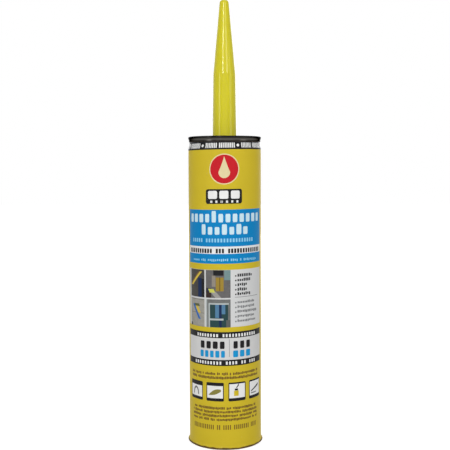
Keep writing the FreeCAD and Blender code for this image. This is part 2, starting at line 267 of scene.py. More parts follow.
def rounded(corners: Sequence[Corner], closed: bool) -> list[Point]:
    """Turns corners into points, with an arc in place of each corner that has a bend.

    Args:
        corners: The corners in order, anticlockwise with the material on the left.
        closed: Whether the last corner joins the first.

    Returns:
        The outline's points in metres; a closed one repeats its first point at the end.
    """
    count = len(corners)
    points: list[Point] = []
    for place, corner in enumerate(corners):
        here = Vector((corner.across, corner.up))
        if corner.bend == 0.0 or (not closed and place in (0, count - 1)):
            points.append((here.x * MM, here.y * MM))
            continue
        before = corners[place - 1]
        after = corners[(place + 1) % count]
        into = (here - Vector((before.across, before.up))).normalized()
        out = (Vector((after.across, after.up)) - here).normalized()
        turn = into.cross(out)
        angle = math.acos(max(-1.0, min(1.0, into.dot(out))))
        reach = corner.bend * math.tan(angle / 2.0)
        side = math.copysign(1.0, turn)
        centre = here - into * reach + Vector((-into.y, into.x)) * side * corner.bend
        start = math.atan2(*(here - into * reach - centre).yx)
        steps = max(3, math.ceil(angle / ARC_STEP))
        for step in range(steps + 1):
            bearing = start + side * angle * step / steps
            spot = centre + Vector((math.cos(bearing), math.sin(bearing))) * corner.bend
            points.append((spot.x * MM, spot.y * MM))
    if closed:
        points.append(points[0])
    return points


def outline_mesh(name: str, points: Sequence[Point]) -> bpy.types.Mesh:
    """An outline as a mesh of edges in the XZ plane."""
    mesh = bpy.data.meshes.new(name)
    edges = [(place, place + 1) for place in range(len(points) - 1)]
    mesh.from_pydata([(across, 0.0, up) for across, up in points], edges, [])
    return mesh


GEOMETRY = {"Geometry": "NodeSocketGeometry"}


def shade_by_angle(graph: Graph, geometry: Socket, angle: Any) -> Socket:
    """Shades faces smooth and keeps each edge sharp that turns by more than an angle."""
    feeds = {"Geometry": geometry, "Shade Smooth": True}
    smooth = graph.add("GeometryNodeSetShadeSmooth", feeds, domain="FACE").outputs[0]
    turn = graph.add("GeometryNodeInputMeshEdgeAngle").outputs["Unsigned Angle"]
    feeds = {"Geometry": smooth, "Selection": graph.math("GREATER_THAN", turn, angle), "Shade Smooth": False}
    return graph.add("GeometryNodeSetShadeSmooth", feeds, domain="EDGE").outputs[0]


def give_material(graph: Graph, geometry: Socket, label: str) -> None:
    """Ends a tree: gives its faces the material of one of its inputs."""
    feeds = {"Geometry": geometry, "Material": graph.given(label)}
    graph.give("Geometry", graph.add("GeometryNodeSetMaterial", feeds).outputs[0])


def turned_form_tree() -> Graph:
    """Builds the tree that turns an outline about the axis into a closed surface."""
    graph = Graph.group(
        "turned_form",
        Kind.GEOMETRY,
        {
            "Outline": "NodeSocketGeometry",
            "Segments": 192,
            "Sharp Angle": FORM_SHARP_ANGLE,
            "Finish": "NodeSocketMaterial",
        },
        GEOMETRY,
    )
    outline = graph.given("Outline")
    size = graph.add("GeometryNodeAttributeDomainSize", {"Geometry": outline}, component="MESH")
    rows = size.outputs["Point Count"]
    segments = graph.given("Segments")
    feeds = {"Size X": 1.0, "Size Y": 1.0, "Vertices X": graph.plus(segments, 1.0), "Vertices Y": rows}
    sheet = graph.add("GeometryNodeMeshGrid", feeds).outputs["Mesh"]
    index = graph.add("GeometryNodeInputIndex").outputs[0]
    turn = graph.math("FLOOR", graph.over(graph.plus(index, 0.5), rows))
    row = graph.minus(index, graph.times(turn, rows))
    place = graph.add("GeometryNodeInputPosition").outputs[0]
    feeds = {"Geometry": outline, "Value": place, "Index": row}
    sample = graph.add("GeometryNodeSampleIndex", feeds, data_type="FLOAT_VECTOR", domain="POINT")
    across, _, up = graph.parts(sample.outputs["Value"])
    bearing = graph.times(graph.over(turn, segments), FULL_TURN)
    east = graph.times(across, graph.math("COSINE", bearing))
    north = graph.times(across, graph.math("SINE", bearing))
    moved = graph.add("GeometryNodeSetPosition", {"Geometry": sheet, "Position": graph.vector(east, north, up)})
    merged = graph.add("GeometryNodeMergeByDistance", {"Geometry": moved.outputs[0], "Distance": FORM_WELD})
    shaded = shade_by_angle(graph, merged.outputs[0], graph.given("Sharp Angle"))
    whole = graph.add("GeometryNodeRealizeInstances", {"Geometry": shaded}).outputs[0]
    give_material(graph, whole, "Finish")
    return graph


def wrapped_film_group() -> Graph:
    """Builds the group that gives flat shapes a thickness and lays them on the label.

    A flat shape has its arc length along the label in X and its height in Y.
    """
    graph = Graph.group(
        "wrapped_film",
        Kind.GEOMETRY,
        {
            "Flat Shapes": "NodeSocketGeometry",
            "Label": "NodeSocketObject",
            "Radius": 25.0 * MM,
            "Centre": 0.0,
            "Tilt": 0.0,
            "Sink": 0.01 * MM,
            "Film": 0.02 * MM,
        },
        GEOMETRY,
    )
    flat = graph.given("Flat Shapes")
    thickness = graph.plus(graph.given("Sink"), graph.given("Film"))
    raised = graph.add(
        "GeometryNodeExtrudeMesh",
        {"Mesh": flat, "Offset": (0.0, 0.0, 1.0), "Offset Scale": thickness, "Individual": False},
        mode="FACES",
    )
    base = graph.add("GeometryNodeFlipFaces", {"Mesh": flat})
    joined = graph.add("GeometryNodeJoinGeometry")
    graph.feed(joined.inputs[0], raised.outputs["Mesh"])
    graph.feed(joined.inputs[0], base.outputs[0])
    closed = graph.add("GeometryNodeMergeByDistance", {"Geometry": joined.outputs[0], "Distance": FILM_WELD})
    along, up, lift = graph.parts(graph.add("GeometryNodeInputPosition").outputs[0])
    radius = graph.given("Radius")
    bearing = graph.over(graph.plus(along, graph.given("Centre")), radius)
    east = graph.math("SINE", bearing)
    north = graph.times(graph.math("COSINE", bearing), -1.0)
    outward = graph.vector(east, north, 0.0)
    slope = graph.times(graph.times(east, radius), graph.math("TANGENT", graph.given("Tilt")))
    height = graph.vector(0.0, 0.0, graph.plus(up, slope))
    start = graph.combine("ADD", graph.scaled(outward, graph.times(radius, 2.0)), height)
    target = graph.add("GeometryNodeObjectInfo", {"Object": graph.given("Label")}, transform_space="RELATIVE")
    ray = graph.add(
        "GeometryNodeRaycast",
        {
            "Target Geometry": target.outputs["Geometry"],
            "Source Position": start,
            "Ray Direction": graph.scaled(outward, -1.0),
            "Ray Length": graph.times(radius, 2.0),
        },
    )
    above = graph.scaled(outward, graph.minus(lift, graph.given("Sink")))
    spot = graph.combine("ADD", ray.outputs["Hit Position"], above)
    laid = graph.add("GeometryNodeSetPosition", {"Geometry": closed.outputs[0], "Position": spot})
    graph.give("Geometry", shade_by_angle(graph, laid.outputs[0], FILM_SHARP_ANGLE))
    return graph


LAYING = {
    "Label": "NodeSocketObject",
    "Radius": 25.0 * MM,
    "Centre": 0.0,
    "Tilt": 0.0,
    "Film": 0.02 * MM,
    "Ink": "NodeSocketMaterial",
}


def lay(graph: Graph, film: Graph, shapes: Socket) -> None:
    """Ends a printing tree: lays its flat shapes on the label and gives them their ink."""
    whole = graph.add("GeometryNodeRealizeInstances", {"Geometry": shapes}).outputs[0]
    feeds = {label: graph.given(label) for label in ("Label", "Radius", "Centre", "Tilt", "Film")}
    give_material(graph, graph.use(film, {"Flat Shapes": whole, **feeds}).outputs[0], "Ink")


def printed_shapes_tree(film: Graph) -> Graph:
    """Builds the tree that prints flat shapes as they are drawn."""
    inputs = {"Shapes": "NodeSocketGeometry", **LAYING}
    graph = Graph.group("printed_shapes", Kind.GEOMETRY, inputs, GEOMETRY)
    lay(graph, film, graph.given("Shapes"))
    return graph


class Draw(Enum):
    """What each random draw of a row adds to the seed."""

    WIDTH = 3.0
    SHORT = 5.0
    GAP = 7.0
    RAGGED = 11.0


def printed_rows_tree(film: Graph) -> Graph:
    """Builds the tree that prints rows of plain blocks, spaced like words."""
    graph = Graph.group(
        "printed_rows",
        Kind.GEOMETRY,
        {
            "Block": "NodeSocketGeometry",
            "Left": 0.0,
            "Foot": 0.0,
            "Width": 10.0 * MM,
            "Block Height": 2.0 * MM,
            "Rows": 1,
            "Pitch": 3.0 * MM,
            "Columns": 10,
            "Cover": 0.8,
            "Short Share": 0.5,
            "Gap Chance": 0.15,
            "Ragged": 0.0,
            "Align": 0.0,
            "Seed": 1,
            **LAYING,
        },
        GEOMETRY,
    )
    columns, rows = graph.given("Columns"), graph.given("Rows")
    seed = graph.given("Seed")
    index = graph.add("GeometryNodeInputIndex").outputs[0]
    row = graph.math("FLOOR", graph.over(graph.plus(index, 0.5), columns))
    column = graph.minus(index, graph.times(row, columns))

    def random_value(identity: Socket, draw: Draw, low: float = 0.0) -> Socket:
        """A fixed random number up to 1 for each identity."""
        feeds = {2: low, 3: 1.0, "ID": identity, "Seed": graph.plus(seed, draw.value)}
        return graph.add("FunctionNodeRandomValue", feeds, data_type="FLOAT").outputs[1]

    shortfall = graph.times(graph.given("Ragged"), random_value(row, Draw.RAGGED))
    kept = graph.math("CEIL", graph.times(columns, graph.minus(1.0, shortfall)))
    cell = graph.over(graph.given("Width"), columns)
    spare = graph.times(graph.minus(columns, kept), graph.given("Align"))
    steps = graph.plus(graph.plus(column, 0.5), spare)
    across = graph.plus(graph.given("Left"), graph.times(steps, cell))
    covered = graph.times(cell, graph.given("Cover"))
    wide = graph.times(covered, random_value(index, Draw.WIDTH, 0.86))
    short = graph.math("LESS_THAN", random_value(index, Draw.SHORT), graph.given("Short Share"))
    share = graph.minus(1.0, graph.times(short, SHORTER_BY))
    tall = graph.times(graph.given("Block Height"), share)
    foot = graph.minus(graph.given("Foot"), graph.times(row, graph.given("Pitch")))
    middle = graph.plus(foot, graph.times(tall, 0.5))
    feeds = {"Count": graph.times(columns, rows), "Position": graph.vector(across, middle)}
    points = graph.add("GeometryNodePoints", feeds)
    gap = graph.math("LESS_THAN", random_value(index, Draw.GAP), graph.given("Gap Chance"))
    past = graph.math("GREATER_THAN", graph.plus(column, 0.5), kept)
    unused = graph.math("GREATER_THAN", graph.plus(gap, past), 0.5)
    feeds = {"Geometry": points.outputs[0], "Selection": unused}
    left = graph.add("GeometryNodeDeleteGeometry", feeds, domain="POINT").outputs[0]
    feeds = {"Points": left, "Instance": graph.given("Block"), "Scale": graph.vector(wide, tall, 1.0)}
    lay(graph, film, graph.add("GeometryNodeInstanceOnPoints", feeds).outputs[0])
    return graph


class Workshop:
    """Runs node trees on carrier objects and turns what they give into plain meshes."""

    def __init__(self) -> None:
        """Builds the trees."""
        film = wrapped_film_group()
        self.turned_form = turned_form_tree()
        self.printed_shapes = printed_shapes_tree(film)
        self.printed_rows = printed_rows_tree(film)

    def make(self, source: bpy.types.Mesh, recipe: Graph, values: Mapping[str, Any]) -> bpy.types.Mesh:
        """Runs a tree on a mesh.

        Args:
            source: The mesh that the tree starts from.
            recipe: The tree.
            values: The tree's inputs by name.

        Returns:
            The result as a mesh of its own.
        """
        carrier = bpy.data.objects.new("carrier", source)
        bpy.context.scene.collection.objects.link(carrier)
        modifier = carrier.modifiers.new("recipe", "NODES")
        modifier.node_group = recipe.tree
        for item in recipe.tree.interface.items_tree:
            if item.in_out == "INPUT" and item.name in values:
                modifier[item.identifier] = values[item.name]
        depsgraph = bpy.context.evaluated_depsgraph_get()
        result = bpy.data.meshes.new_from_object(carrier.evaluated_get(depsgraph), depsgraph=depsgraph)
        bpy.data.objects.remove(carrier)
        bpy.data.meshes.remove(source)
        return result

    def turn(self, name: str, points: Sequence[Point], segments: int,
             coat: bpy.types.Material) -> bpy.types.Object:
        """Turns an outline into a piece."""
        values = {"Segments": segments, "Finish": coat}
        return self.piece(name, self.make(outline_mesh(name, points), self.turned_form, values))

    @staticmethod
    def piece(name: str, mesh: bpy.types.Mesh) -> bpy.types.Object:
        """Puts a finished mesh in the scene."""
        mesh.name = name
        item = bpy.data.objects.new(name, mesh)
        bpy.context.scene.collection.objects.link(item)
        return item


def joined_mesh(name: str, meshes: Iterable[bpy.types.Mesh], finish: bpy.types.Material) -> bpy.types.Mesh:
    """Puts several meshes of one finish into one."""
    gathered = bmesh.new()
    for mesh in meshes:
        gathered.from_mesh(mesh)
        bpy.data.meshes.remove(mesh)
    whole = bpy.data.meshes.new(name)
    gathered.to_mesh(whole)
    gathered.free()
    whole.materials.append(finish)
    return whole


def declare(item: bpy.types.Object, body: Body, slot: Slot, *nodes: str) -> None:
    """Attaches a piece to the body that it moves with and hides the CAD nodes that it stands for."""
    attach(item, body.value)
    if nodes:
        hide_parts(*nodes)
    LOG.info("%s: %d faces on %s", item.name, len(item.data.polygons), body.value)


# Shader groups that more than one finish uses


class Effects:
    """The shader groups shared by the finishes, each built once."""

    PATCH_SHARE, FINE_SHARE = 0.55, 0.45
    MOTTLE_SWING = 4.0
    COARSE_RATIO = 0.12
    SWAY_SCALE, SWAY_REACH = 45.0, 0.012
    STREAK_STRETCH, MARK_STRETCH = (1.0, 1.0, 5.0), (7.0, 7.0, 0.8)
    SCUFF_PUSH = 0.12
    SCUFF_EDGE = (0.62, 0.74)

    def __init__(self) -> None:
        """Builds the groups."""
        self.label_place = self.make_label_place()
        self.mottle = self.make_mottle()
        self.grain = self.make_grain()
        self.scuffs = self.make_scuffs()
        self.helix = self.make_helix()

    def tooth(self, shader: Graph) -> Socket:
        """The fine height of varnished paper."""
        return shader.take(self.grain, {"Scale": TOOTH_SCALE})

    @staticmethod
    def object_place(graph: Graph) -> Socket:
        """The position on the object, in metres."""
        return graph.add("ShaderNodeTexCoord").outputs["Object"]

    def make_label_place(self) -> Graph:
        """Where a point lies on the label, in millimetres.

        Along runs from its middle, Height follows the print's tilt, Up doesn't, and Out is the radius.
        """
        graph = Graph.group(
            "label_place",
            Kind.SHADER,
            {"Radius": 25.0, "Tilt": 0.0},
            dict.fromkeys(("Along", "Height", "Up", "Out"), "NodeSocketFloat"),
        )
        east, north, up = graph.parts(graph.scaled(self.object_place(graph), 1.0 / MM))
        bearing = graph.math("ARCTAN2", east, graph.times(north, -1.0))
        graph.give("Along", graph.times(bearing, graph.given("Radius")))
        slope = graph.times(east, graph.math("TANGENT", graph.given("Tilt")))
        graph.give("Height", graph.minus(up, slope))
        graph.give("Up", up)
        square = graph.weighted(east, east, north, north)
        graph.give("Out", graph.math("SQRT", square))
        return graph

    def make_mottle(self) -> Graph:
        """A colour made slightly uneven, in large soft patches and in fine ones."""
        graph = Graph.group(
            "mottle",
            Kind.SHADER,
            {"Colour": (0.5, 0.5, 0.5, 1.0), "Patch Scale": 60.0, "Fine Scale": 2200.0, "Amount": 0.06},
            {"Colour": "NodeSocketColor"},
        )
        place = self.object_place(graph)
        patches = graph.noise(place, graph.given("Patch Scale"), 4.0)
        fine = graph.noise(place, graph.given("Fine Scale"), 2.0)
        both = graph.weighted(patches, self.PATCH_SHARE, fine, self.FINE_SHARE)
        swing = graph.times(graph.minus(both, 0.5), graph.given("Amount"))
        level = graph.plus(1.0, graph.times(swing, self.MOTTLE_SWING))
        graph.give("Colour", graph.shaded(level, graph.given("Colour")))
        return graph

    def make_grain(self) -> Graph:
        """A fine surface height, which may be stretched to show fibres or drawing marks."""
        graph = Graph.group(
            "grain",
            Kind.SHADER,
            {"Scale": 1500.0, "Stretch": (1.0, 1.0, 1.0), "Coarse Share": 0.3},
            {"Height": "NodeSocketFloat"},
        )
        place = graph.combine("MULTIPLY", self.object_place(graph), graph.given("Stretch"))
        fine = graph.noise(place, graph.given("Scale"), 4.0, 0.6)
        coarse = graph.noise(place, graph.times(graph.given("Scale"), self.COARSE_RATIO), 2.0)
        share = graph.given("Coarse Share")
        rest = graph.minus(1.0, share)
        graph.give("Height", graph.weighted(coarse, share, fine, rest))
        return graph

    def make_scuffs(self) -> Graph:
        """A mask of short handling marks, more of them where a mask says that the surface rubs."""
        graph = Graph.group(
            "scuffs",
            Kind.SHADER,
            {"Scale": 90.0, "Amount": 0.3, "Rub": 0.0},
            {"Mask": "NodeSocketFloat"},
        )
        place = self.object_place(graph)
        sway = graph.scaled(graph.vector(graph.noise(place, self.SWAY_SCALE)), self.SWAY_REACH)
        bent = graph.combine("ADD", place, sway)
        scale = graph.given("Scale")
        streaks = graph.noise(graph.combine("MULTIPLY", bent, self.STREAK_STRETCH), scale, 6.0, 0.62)
        marks = graph.noise(graph.combine("MULTIPLY", bent, self.MARK_STRETCH), scale, 5.0, 0.6)
        level = graph.weighted(streaks, 0.5, marks, 0.5)
        push = graph.plus(graph.times(graph.given("Amount"), self.SCUFF_PUSH), graph.given("Rub"))
        graph.give("Mask", graph.fit(graph.plus(level, push), *self.SCUFF_EDGE))
        return graph

    def make_helix(self) -> Graph:
        """A mask of the narrow helical line where one ply of a wound tube meets the next."""
        graph = Graph.group(
            "helix",
            Kind.SHADER,
            {"Pitch": 70.0, "Width": 0.4},
            {"Mask": "NodeSocketFloat"},
        )
        east, north, up = graph.parts(graph.scaled(self.object_place(graph), 1.0 / MM))
        bearing = graph.over(graph.math("ARCTAN2", east, north), FULL_TURN)
        pitch = graph.given("Pitch")
        turns = graph.plus(graph.over(up, pitch), bearing)
        nearness = graph.math("PINGPONG", turns, 0.5)
        distance = graph.times(nearness, pitch)
        graph.give("Mask", graph.fit(distance, 0.0, graph.given("Width"), 1.0, 0.0))
        return graph


class Shader(Graph):
    """A material's own tree, from its surface marks to the shader that shows them."""

    def __init__(self, name: str) -> None:
        """Starts an empty material."""
        self.material = bpy.data.materials.new(name)
        self.material.use_nodes = True
        self.material.node_tree.nodes.clear()
        super().__init__(self.material.node_tree)

    def bump(self, height: Socket, depth: float, strength: float = 1.0) -> Socket:
        """A normal from a height between 0 and 1 that stands for a depth in millimetres."""
        feeds = {"Height": height, "Distance": depth * MM, "Strength": strength}
        return self.add("ShaderNodeBump", feeds).outputs[0]

    def surface(self, feeds: Mapping[str, Any]) -> bpy.types.Material:
        """Ends the material in a Principled shader."""
        self.ended("ShaderNodeOutputMaterial", self.add("ShaderNodeBsdfPrincipled", feeds))
        return self.material


def opaque(colour: Colour) -> tuple[float, float, float, float]:
    """A colour with full alpha."""
    return (*colour, 1.0)


def printed_surface(shader: Shader, effects: Effects, colour: Socket, roughness: Any) -> bpy.types.Material:
    """Ends a printing's material: an even film on the paper's tooth."""
    return shader.surface(
        {
            "Base Color": colour,
            "Roughness": roughness,
            "Specular IOR Level": PRINT_SPECULAR,
            "Normal": shader.bump(effects.tooth(shader), TOOTH_DEPTH),
        }
    )


PRINT_SPECULAR = 0.08
PRINT_SCUFFS = 120.0
TOOTH_SCALE = 2600.0
TOOTH_DEPTH = 0.006
PAPER_YELLOW = (0.565, 0.430, 0.023)
PRINT_BLACK = (0.011, 0.011, 0.012)


@dataclass(frozen=True)
class InkFinish:
    """One flat printing ink on varnished paper."""

    name: str
    colour: Colour
    roughness: float = 0.5
    unevenness: float = 0.03
    rub: float = 0.2

    def material(self, effects: Effects) -> bpy.types.Material:
        """Builds the ink's material."""
        shader = Shader(self.name)
        mottled = shader.take(effects.mottle, {"Colour": opaque(self.colour), "Amount": self.unevenness})
        scuffed = shader.take(effects.scuffs, {"Scale": PRINT_SCUFFS, "Amount": 0.2})
        roughness = shader.blend(scuffed, self.roughness, self.roughness + self.rub)
        return printed_surface(shader, effects, mottled, roughness)


class Ink(Enum):
    """The inks that the label is printed with, in the order in which they lie on each other."""

    WHITE = InkFinish("ink_white", (0.76, 0.76, 0.75))
    CREAM = InkFinish("ink_cream", (0.70, 0.60, 0.34))
    RED = InkFinish("ink_red", (0.515, 0.013, 0.021))
    BLUE = InkFinish("ink_blue", (0.012, 0.27, 0.56))
    ICE = InkFinish("ink_ice", (0.55, 0.72, 0.79))
    SKY = InkFinish("ink_sky", (0.25, 0.55, 0.74))
    BLACK = InkFinish("ink_black", PRINT_BLACK)
    GREY = InkFinish("ink_grey", (0.16, 0.165, 0.17))
    BROWN = InkFinish("ink_brown", (0.15, 0.085, 0.02))
    OLIVE = InkFinish("ink_olive", (0.22, 0.20, 0.05))
    YELLOW = InkFinish("ink_yellow", PAPER_YELLOW)


@dataclass(frozen=True)
class PrintedPaper:
    """Varnished label paper with its printed fields."""

    name: str = "label_print"
    radius: float = 25.0
    tilt: float = 0.0
    front_centre: float = -0.3
    front_half_width: float = 31.5
    top_band: float = 202.3
    span: float = 210.0
    cut_edge_and_shade: Colour = (0.060, 0.030, 0.012)
    bare: Colour = (0.62, 0.50, 0.24)
    edge: float = 0.06
    neck: float = 203.0
    pleats: float = 2.1
    relief_depth: float = 0.05
    wear: float = 0.4
    foot_wear: tuple[float, float] = (0.6, 4.0)
    cut_edge_and_shade_height: tuple[float, float] = (1.75, 2.35)
    cut_edge_and_shade_wander: tuple[float, float] = (220.0, 1.2)
    bands: tuple[tuple[float, Colour], ...] = (
        (0.0, PAPER_YELLOW),
        (57.4, PRINT_BLACK),
        (61.3, (0.60, 0.60, 0.595)),
        (75.9, PRINT_BLACK),
        (80.2, PAPER_YELLOW),
        (83.6, (0.595, 0.60, 0.60)),
        (122.0, PAPER_YELLOW),
        (125.6, (0.002, 0.205, 0.49)),
        (132.6, (0.74, 0.745, 0.75)),
        (137.3, (0.002, 0.205, 0.49)),
        (161.85, PAPER_YELLOW),
    )

    def fields(self, shader: Shader, along: Socket, height: Socket) -> Socket:
        """The colour of the printed fields."""
        ramp = shader.add("ShaderNodeValToRGB", {0: shader.over(height, self.span)})
        ramp.color_ramp.interpolation = "CONSTANT"
        stops = ramp.color_ramp.elements
        stops[0].color = opaque(self.bands[0][1])
        stops.remove(stops[1])
        for start, colour in self.bands[1:]:
            stop = stops.new(start / self.span)
            stop.color = opaque(colour)
        offset, half = shader.off(along, self.front_centre), self.front_half_width
        front = shader.fit(offset, half - self.edge, half + self.edge, 1.0, 0.0)
        printed = shader.mix(front, opaque(PAPER_YELLOW), ramp.outputs[0])
        crown = shader.fit(height, self.top_band - 0.05, self.top_band + 0.05)
        return shader.mix(crown, printed, opaque(PRINT_BLACK))

    def material(self, effects: Effects) -> bpy.types.Material:
        """Builds the paper's material."""
        shader = Shader(self.name)
        place = shader.use(effects.label_place, {"Radius": self.radius, "Tilt": self.tilt})
        along, up = place.outputs["Along"], place.outputs["Up"]
        printed = self.fields(shader, along, place.outputs["Height"])
        mottled = shader.take(effects.mottle, {"Colour": printed, "Amount": 0.03})
        foot_rub = shader.fit(up, *self.foot_wear, 0.12, 0.0)
        scuffed = shader.take(effects.scuffs, {"Scale": PRINT_SCUFFS, "Amount": 0.1, "Rub": foot_rub})
        worn = shader.mix(shader.times(scuffed, self.wear), mottled, opaque(self.bare))
        # A dark line round the foot: partly the board's brown cut edge, partly painted shade under the flare.
        scale, reach = self.cut_edge_and_shade_wander
        wander = shader.times(shader.noise(effects.object_place(shader), scale), reach)
        foot_line = shader.fit(shader.plus(up, wander), *self.cut_edge_and_shade_height, 0.95, 0.0)
        coloured = shader.mix(foot_line, worn, opaque(self.cut_edge_and_shade))
        tooth = effects.tooth(shader)
        ply = shader.take(effects.helix, {"Pitch": 95.0, "Width": 1.2})
        wave = shader.math("SINE", shader.times(along, self.pleats))
        gather = shader.times(wave, shader.fit(up, self.neck, self.neck + 2.4, 0.0, 0.5))
        spread = shader.times(wave, shader.fit(up, 1.0, 3.6, 0.4, 0.0))
        relief = shader.weighted(tooth, 0.12, ply, -0.22)
        relief = shader.plus(relief, shader.plus(gather, spread))
        gloss = shader.fit(up, self.neck, self.neck + 1.5, 0.48, 0.22)
        return shader.surface(
            {
                "Base Color": coloured,
                "Roughness": shader.blend(scuffed, gloss, 0.65),
                "Specular IOR Level": PRINT_SPECULAR,
                "Normal": shader.bump(relief, self.relief_depth),
            }
        )


@dataclass(frozen=True)
class WoundBoard:
    """Grey-brown fibre board wound from plies, with a foil liner on the bore."""

    name: str = "wound_board"
    colour: Colour = (0.36, 0.255, 0.155)
    liner_colour: Colour = (0.72, 0.72, 0.73)
    liner_radius: float = 23.62
    liner_edge: float = 0.02
    ply_colour: Colour = (0.30, 0.24, 0.18)
    ply_pitch: float = 70.0

    def material(self, effects: Effects) -> bpy.types.Material:
        """Builds the board's material."""
        shader = Shader(self.name)
        out = shader.use(effects.label_place).outputs["Out"]
        radius, edge = self.liner_radius, self.liner_edge
        lined = shader.fit(out, radius - edge, radius + edge, 1.0, 0.0)
        feeds = {"Colour": opaque(self.colour), "Amount": 0.14, "Fine Scale": 1400.0}
        board = shader.take(effects.mottle, feeds)
        foil = shader.take(effects.mottle, {"Colour": opaque(self.liner_colour), "Amount": 0.05})
        ply = shader.take(effects.helix, {"Pitch": self.ply_pitch, "Width": 0.5})
        colour = shader.mix(lined, board, foil)
        colour = shader.mix(shader.times(ply, 0.45), colour, opaque(self.ply_colour))
        fibres = shader.take(effects.grain, {"Scale": 900.0, "Stretch": (1.0, 1.0, 3.0)})
        relief = shader.minus(fibres, shader.times(ply, 0.8))
        return shader.surface(
            {
                "Base Color": colour,
                "Metallic": shader.times(lined, 0.85),
                "Roughness": shader.blend(lined, 0.88, 0.38),
                "Normal": shader.bump(relief, 0.05),
            }
        )


@dataclass(frozen=True)
class DrawnSteel:
    """Pressed tinplate with drawing marks and scratches; its rim is painted near-black as a painted dark
    reflection, with a lighter painted reflection on a band round the skirt's step.
    """

    name: str = "drawn_steel"
    colour: Colour = (0.30, 0.298, 0.29)
    # Painted reflection on the rim: near-black, and lighter on a band round the skirt's step.
    dark_reflection_colour: Colour = (0.012, 0.011, 0.010)
    floor_reflection_colour: Colour = (0.062, 0.058, 0.052)
    scratch_colour: Colour = (0.35, 0.35, 0.36)
    floor_reflection_up: float = 209.1
    floor_reflection_edge: tuple[float, float] = (0.2, 1.2)
    rolled_from: float = 22.9
    roughness: float = 0.2

    def material(self, effects: Effects) -> bpy.types.Material:
        """Builds the steel's material."""
        shader = Shader(self.name)
        place = shader.use(effects.label_place)
        # Painted reflection: the rim is near-black, and lighter where the skirt's step faces the floor.
        offset = shader.off(place.outputs["Up"], self.floor_reflection_up)
        floor_reflection = shader.fit(offset, *self.floor_reflection_edge, 1.0, 0.0)
        rim = shader.mix(floor_reflection, opaque(self.dark_reflection_colour), opaque(self.floor_reflection_colour))
        rolled = shader.fit(place.outputs["Out"], self.rolled_from, self.rolled_from + 0.5)
        tone = shader.mix(rolled, opaque(self.colour), rim)
        colour = shader.take(effects.mottle, {"Colour": tone, "Amount": 0.10, "Patch Scale": 140.0})
        scuffed = shader.take(effects.scuffs, {"Scale": 160.0, "Amount": 0.5})
        bright = shader.mix(shader.times(scuffed, 0.15), colour, opaque(self.scratch_colour))
        marks = shader.take(effects.grain, {"Scale": 500.0, "Stretch": (1.0, 1.0, 9.0), "Coarse Share": 0.5})
        roughness = shader.plus(shader.times(marks, 0.12), self.roughness - 0.05)
        return shader.surface(
            {
                "Base Color": bright,
                "Metallic": 1.0,
                "Specular Tint": (0.25, 0.25, 0.25, 1.0),
                "Roughness": shader.plus(roughness, shader.times(scuffed, 0.12)),
                "Normal": shader.bump(marks, 0.012),
            }
        )


@dataclass(frozen=True)
class MouldedPolyethylene:
    """Waxy injection-moulded plastic with a parting line and faint flow marks."""

    name: str
    colour: Colour
    roughness: float = 0.3
    glow: float = 0.1
    parting_line: float = 0.0
    parting_edge: tuple[float, float] = (0.02 * MM, 0.16 * MM)
    specular: float = 0.25
    glow_reach: tuple[float, float, float] = (0.9, 0.8, 0.2)

    def material(self, effects: Effects) -> bpy.types.Material:
        """Builds the plastic's material."""
        shader = Shader(self.name)
        feeds = {"Colour": opaque(self.colour), "Amount": 0.025, "Patch Scale": 45.0}
        colour = shader.take(effects.mottle, feeds)
        flow = shader.take(effects.grain, {"Scale": 260.0, "Stretch": (1.0, 1.0, 0.12), "Coarse Share": 0.7})
        scuffed = shader.take(effects.scuffs, {"Scale": 140.0, "Amount": 0.3})
        _, north, _ = shader.parts(effects.object_place(shader))
        line = shader.fit(shader.math("ABSOLUTE", north), *self.parting_edge, 1.0, 0.0)
        relief = shader.weighted(flow, 0.25, line, self.parting_line)
        return shader.surface(
            {
                "Base Color": colour,
                "Roughness": shader.blend(scuffed, self.roughness, self.roughness + 0.12),
                "Subsurface Weight": self.glow,
                "Subsurface Radius": self.glow_reach,
                "Subsurface Scale": 0.8 * MM,
                "Specular IOR Level": self.specular,
                "Normal": shader.bump(relief, 0.05),
            }
        )


@dataclass(frozen=True)
class SealingFoil:
    """Thin aluminium foil with soft dimples."""

    name: str = "sealing_foil"
    colour: Colour = (0.78, 0.78, 0.79)

    def material(self, effects: Effects) -> bpy.types.Material:
        """Builds the foil's material."""
        shader = Shader(self.name)
        colour = shader.take(effects.mottle, {"Colour": opaque(self.colour), "Amount": 0.05})
        dimples = shader.take(effects.grain, {"Scale": 700.0, "Coarse Share": 0.6})
        return shader.surface(
            {
                "Base Color": colour,
                "Metallic": 1.0,
                "Roughness": shader.plus(0.24, shader.times(dimples, 0.14)),
                "Normal": shader.bump(dimples, 0.05),
            }
        )


@dataclass(frozen=True)
class SealantPaste:
    """Smooth, slightly translucent paste with folds and small voids."""

    name: str = "sealant_paste_white"
    colour: Colour = (0.78, 0.765, 0.71)

    def material(self, effects: Effects) -> bpy.types.Material:
        """Builds the paste's material."""
        shader = Shader(self.name)
        colour = shader.take(effects.mottle, {"Colour": opaque(self.colour), "Amount": 0.04})
        folds = shader.take(effects.grain, {"Scale": 320.0, "Stretch": (1.0, 1.0, 2.5)})
        return shader.surface(
            {
                "Base Color": colour,
                "Roughness": shader.plus(0.28, shader.times(folds, 0.2)),
                "Subsurface Weight": 0.15,
                "Subsurface Scale": 1.0 * MM,
                "Normal": shader.bump(folds, 0.12),
            }
        )


# The pictures on the label's pale panel


@dataclass(frozen=True)
class Patch:
    """A patch of one colour in a picture, in millimetres from the picture's lower left corner.

    The lean is how far it moves to the left for each millimetre of height.
    """

    left: float
    right: float
    low: float
    high: float
    colour: Colour
    lean: float = 0.0


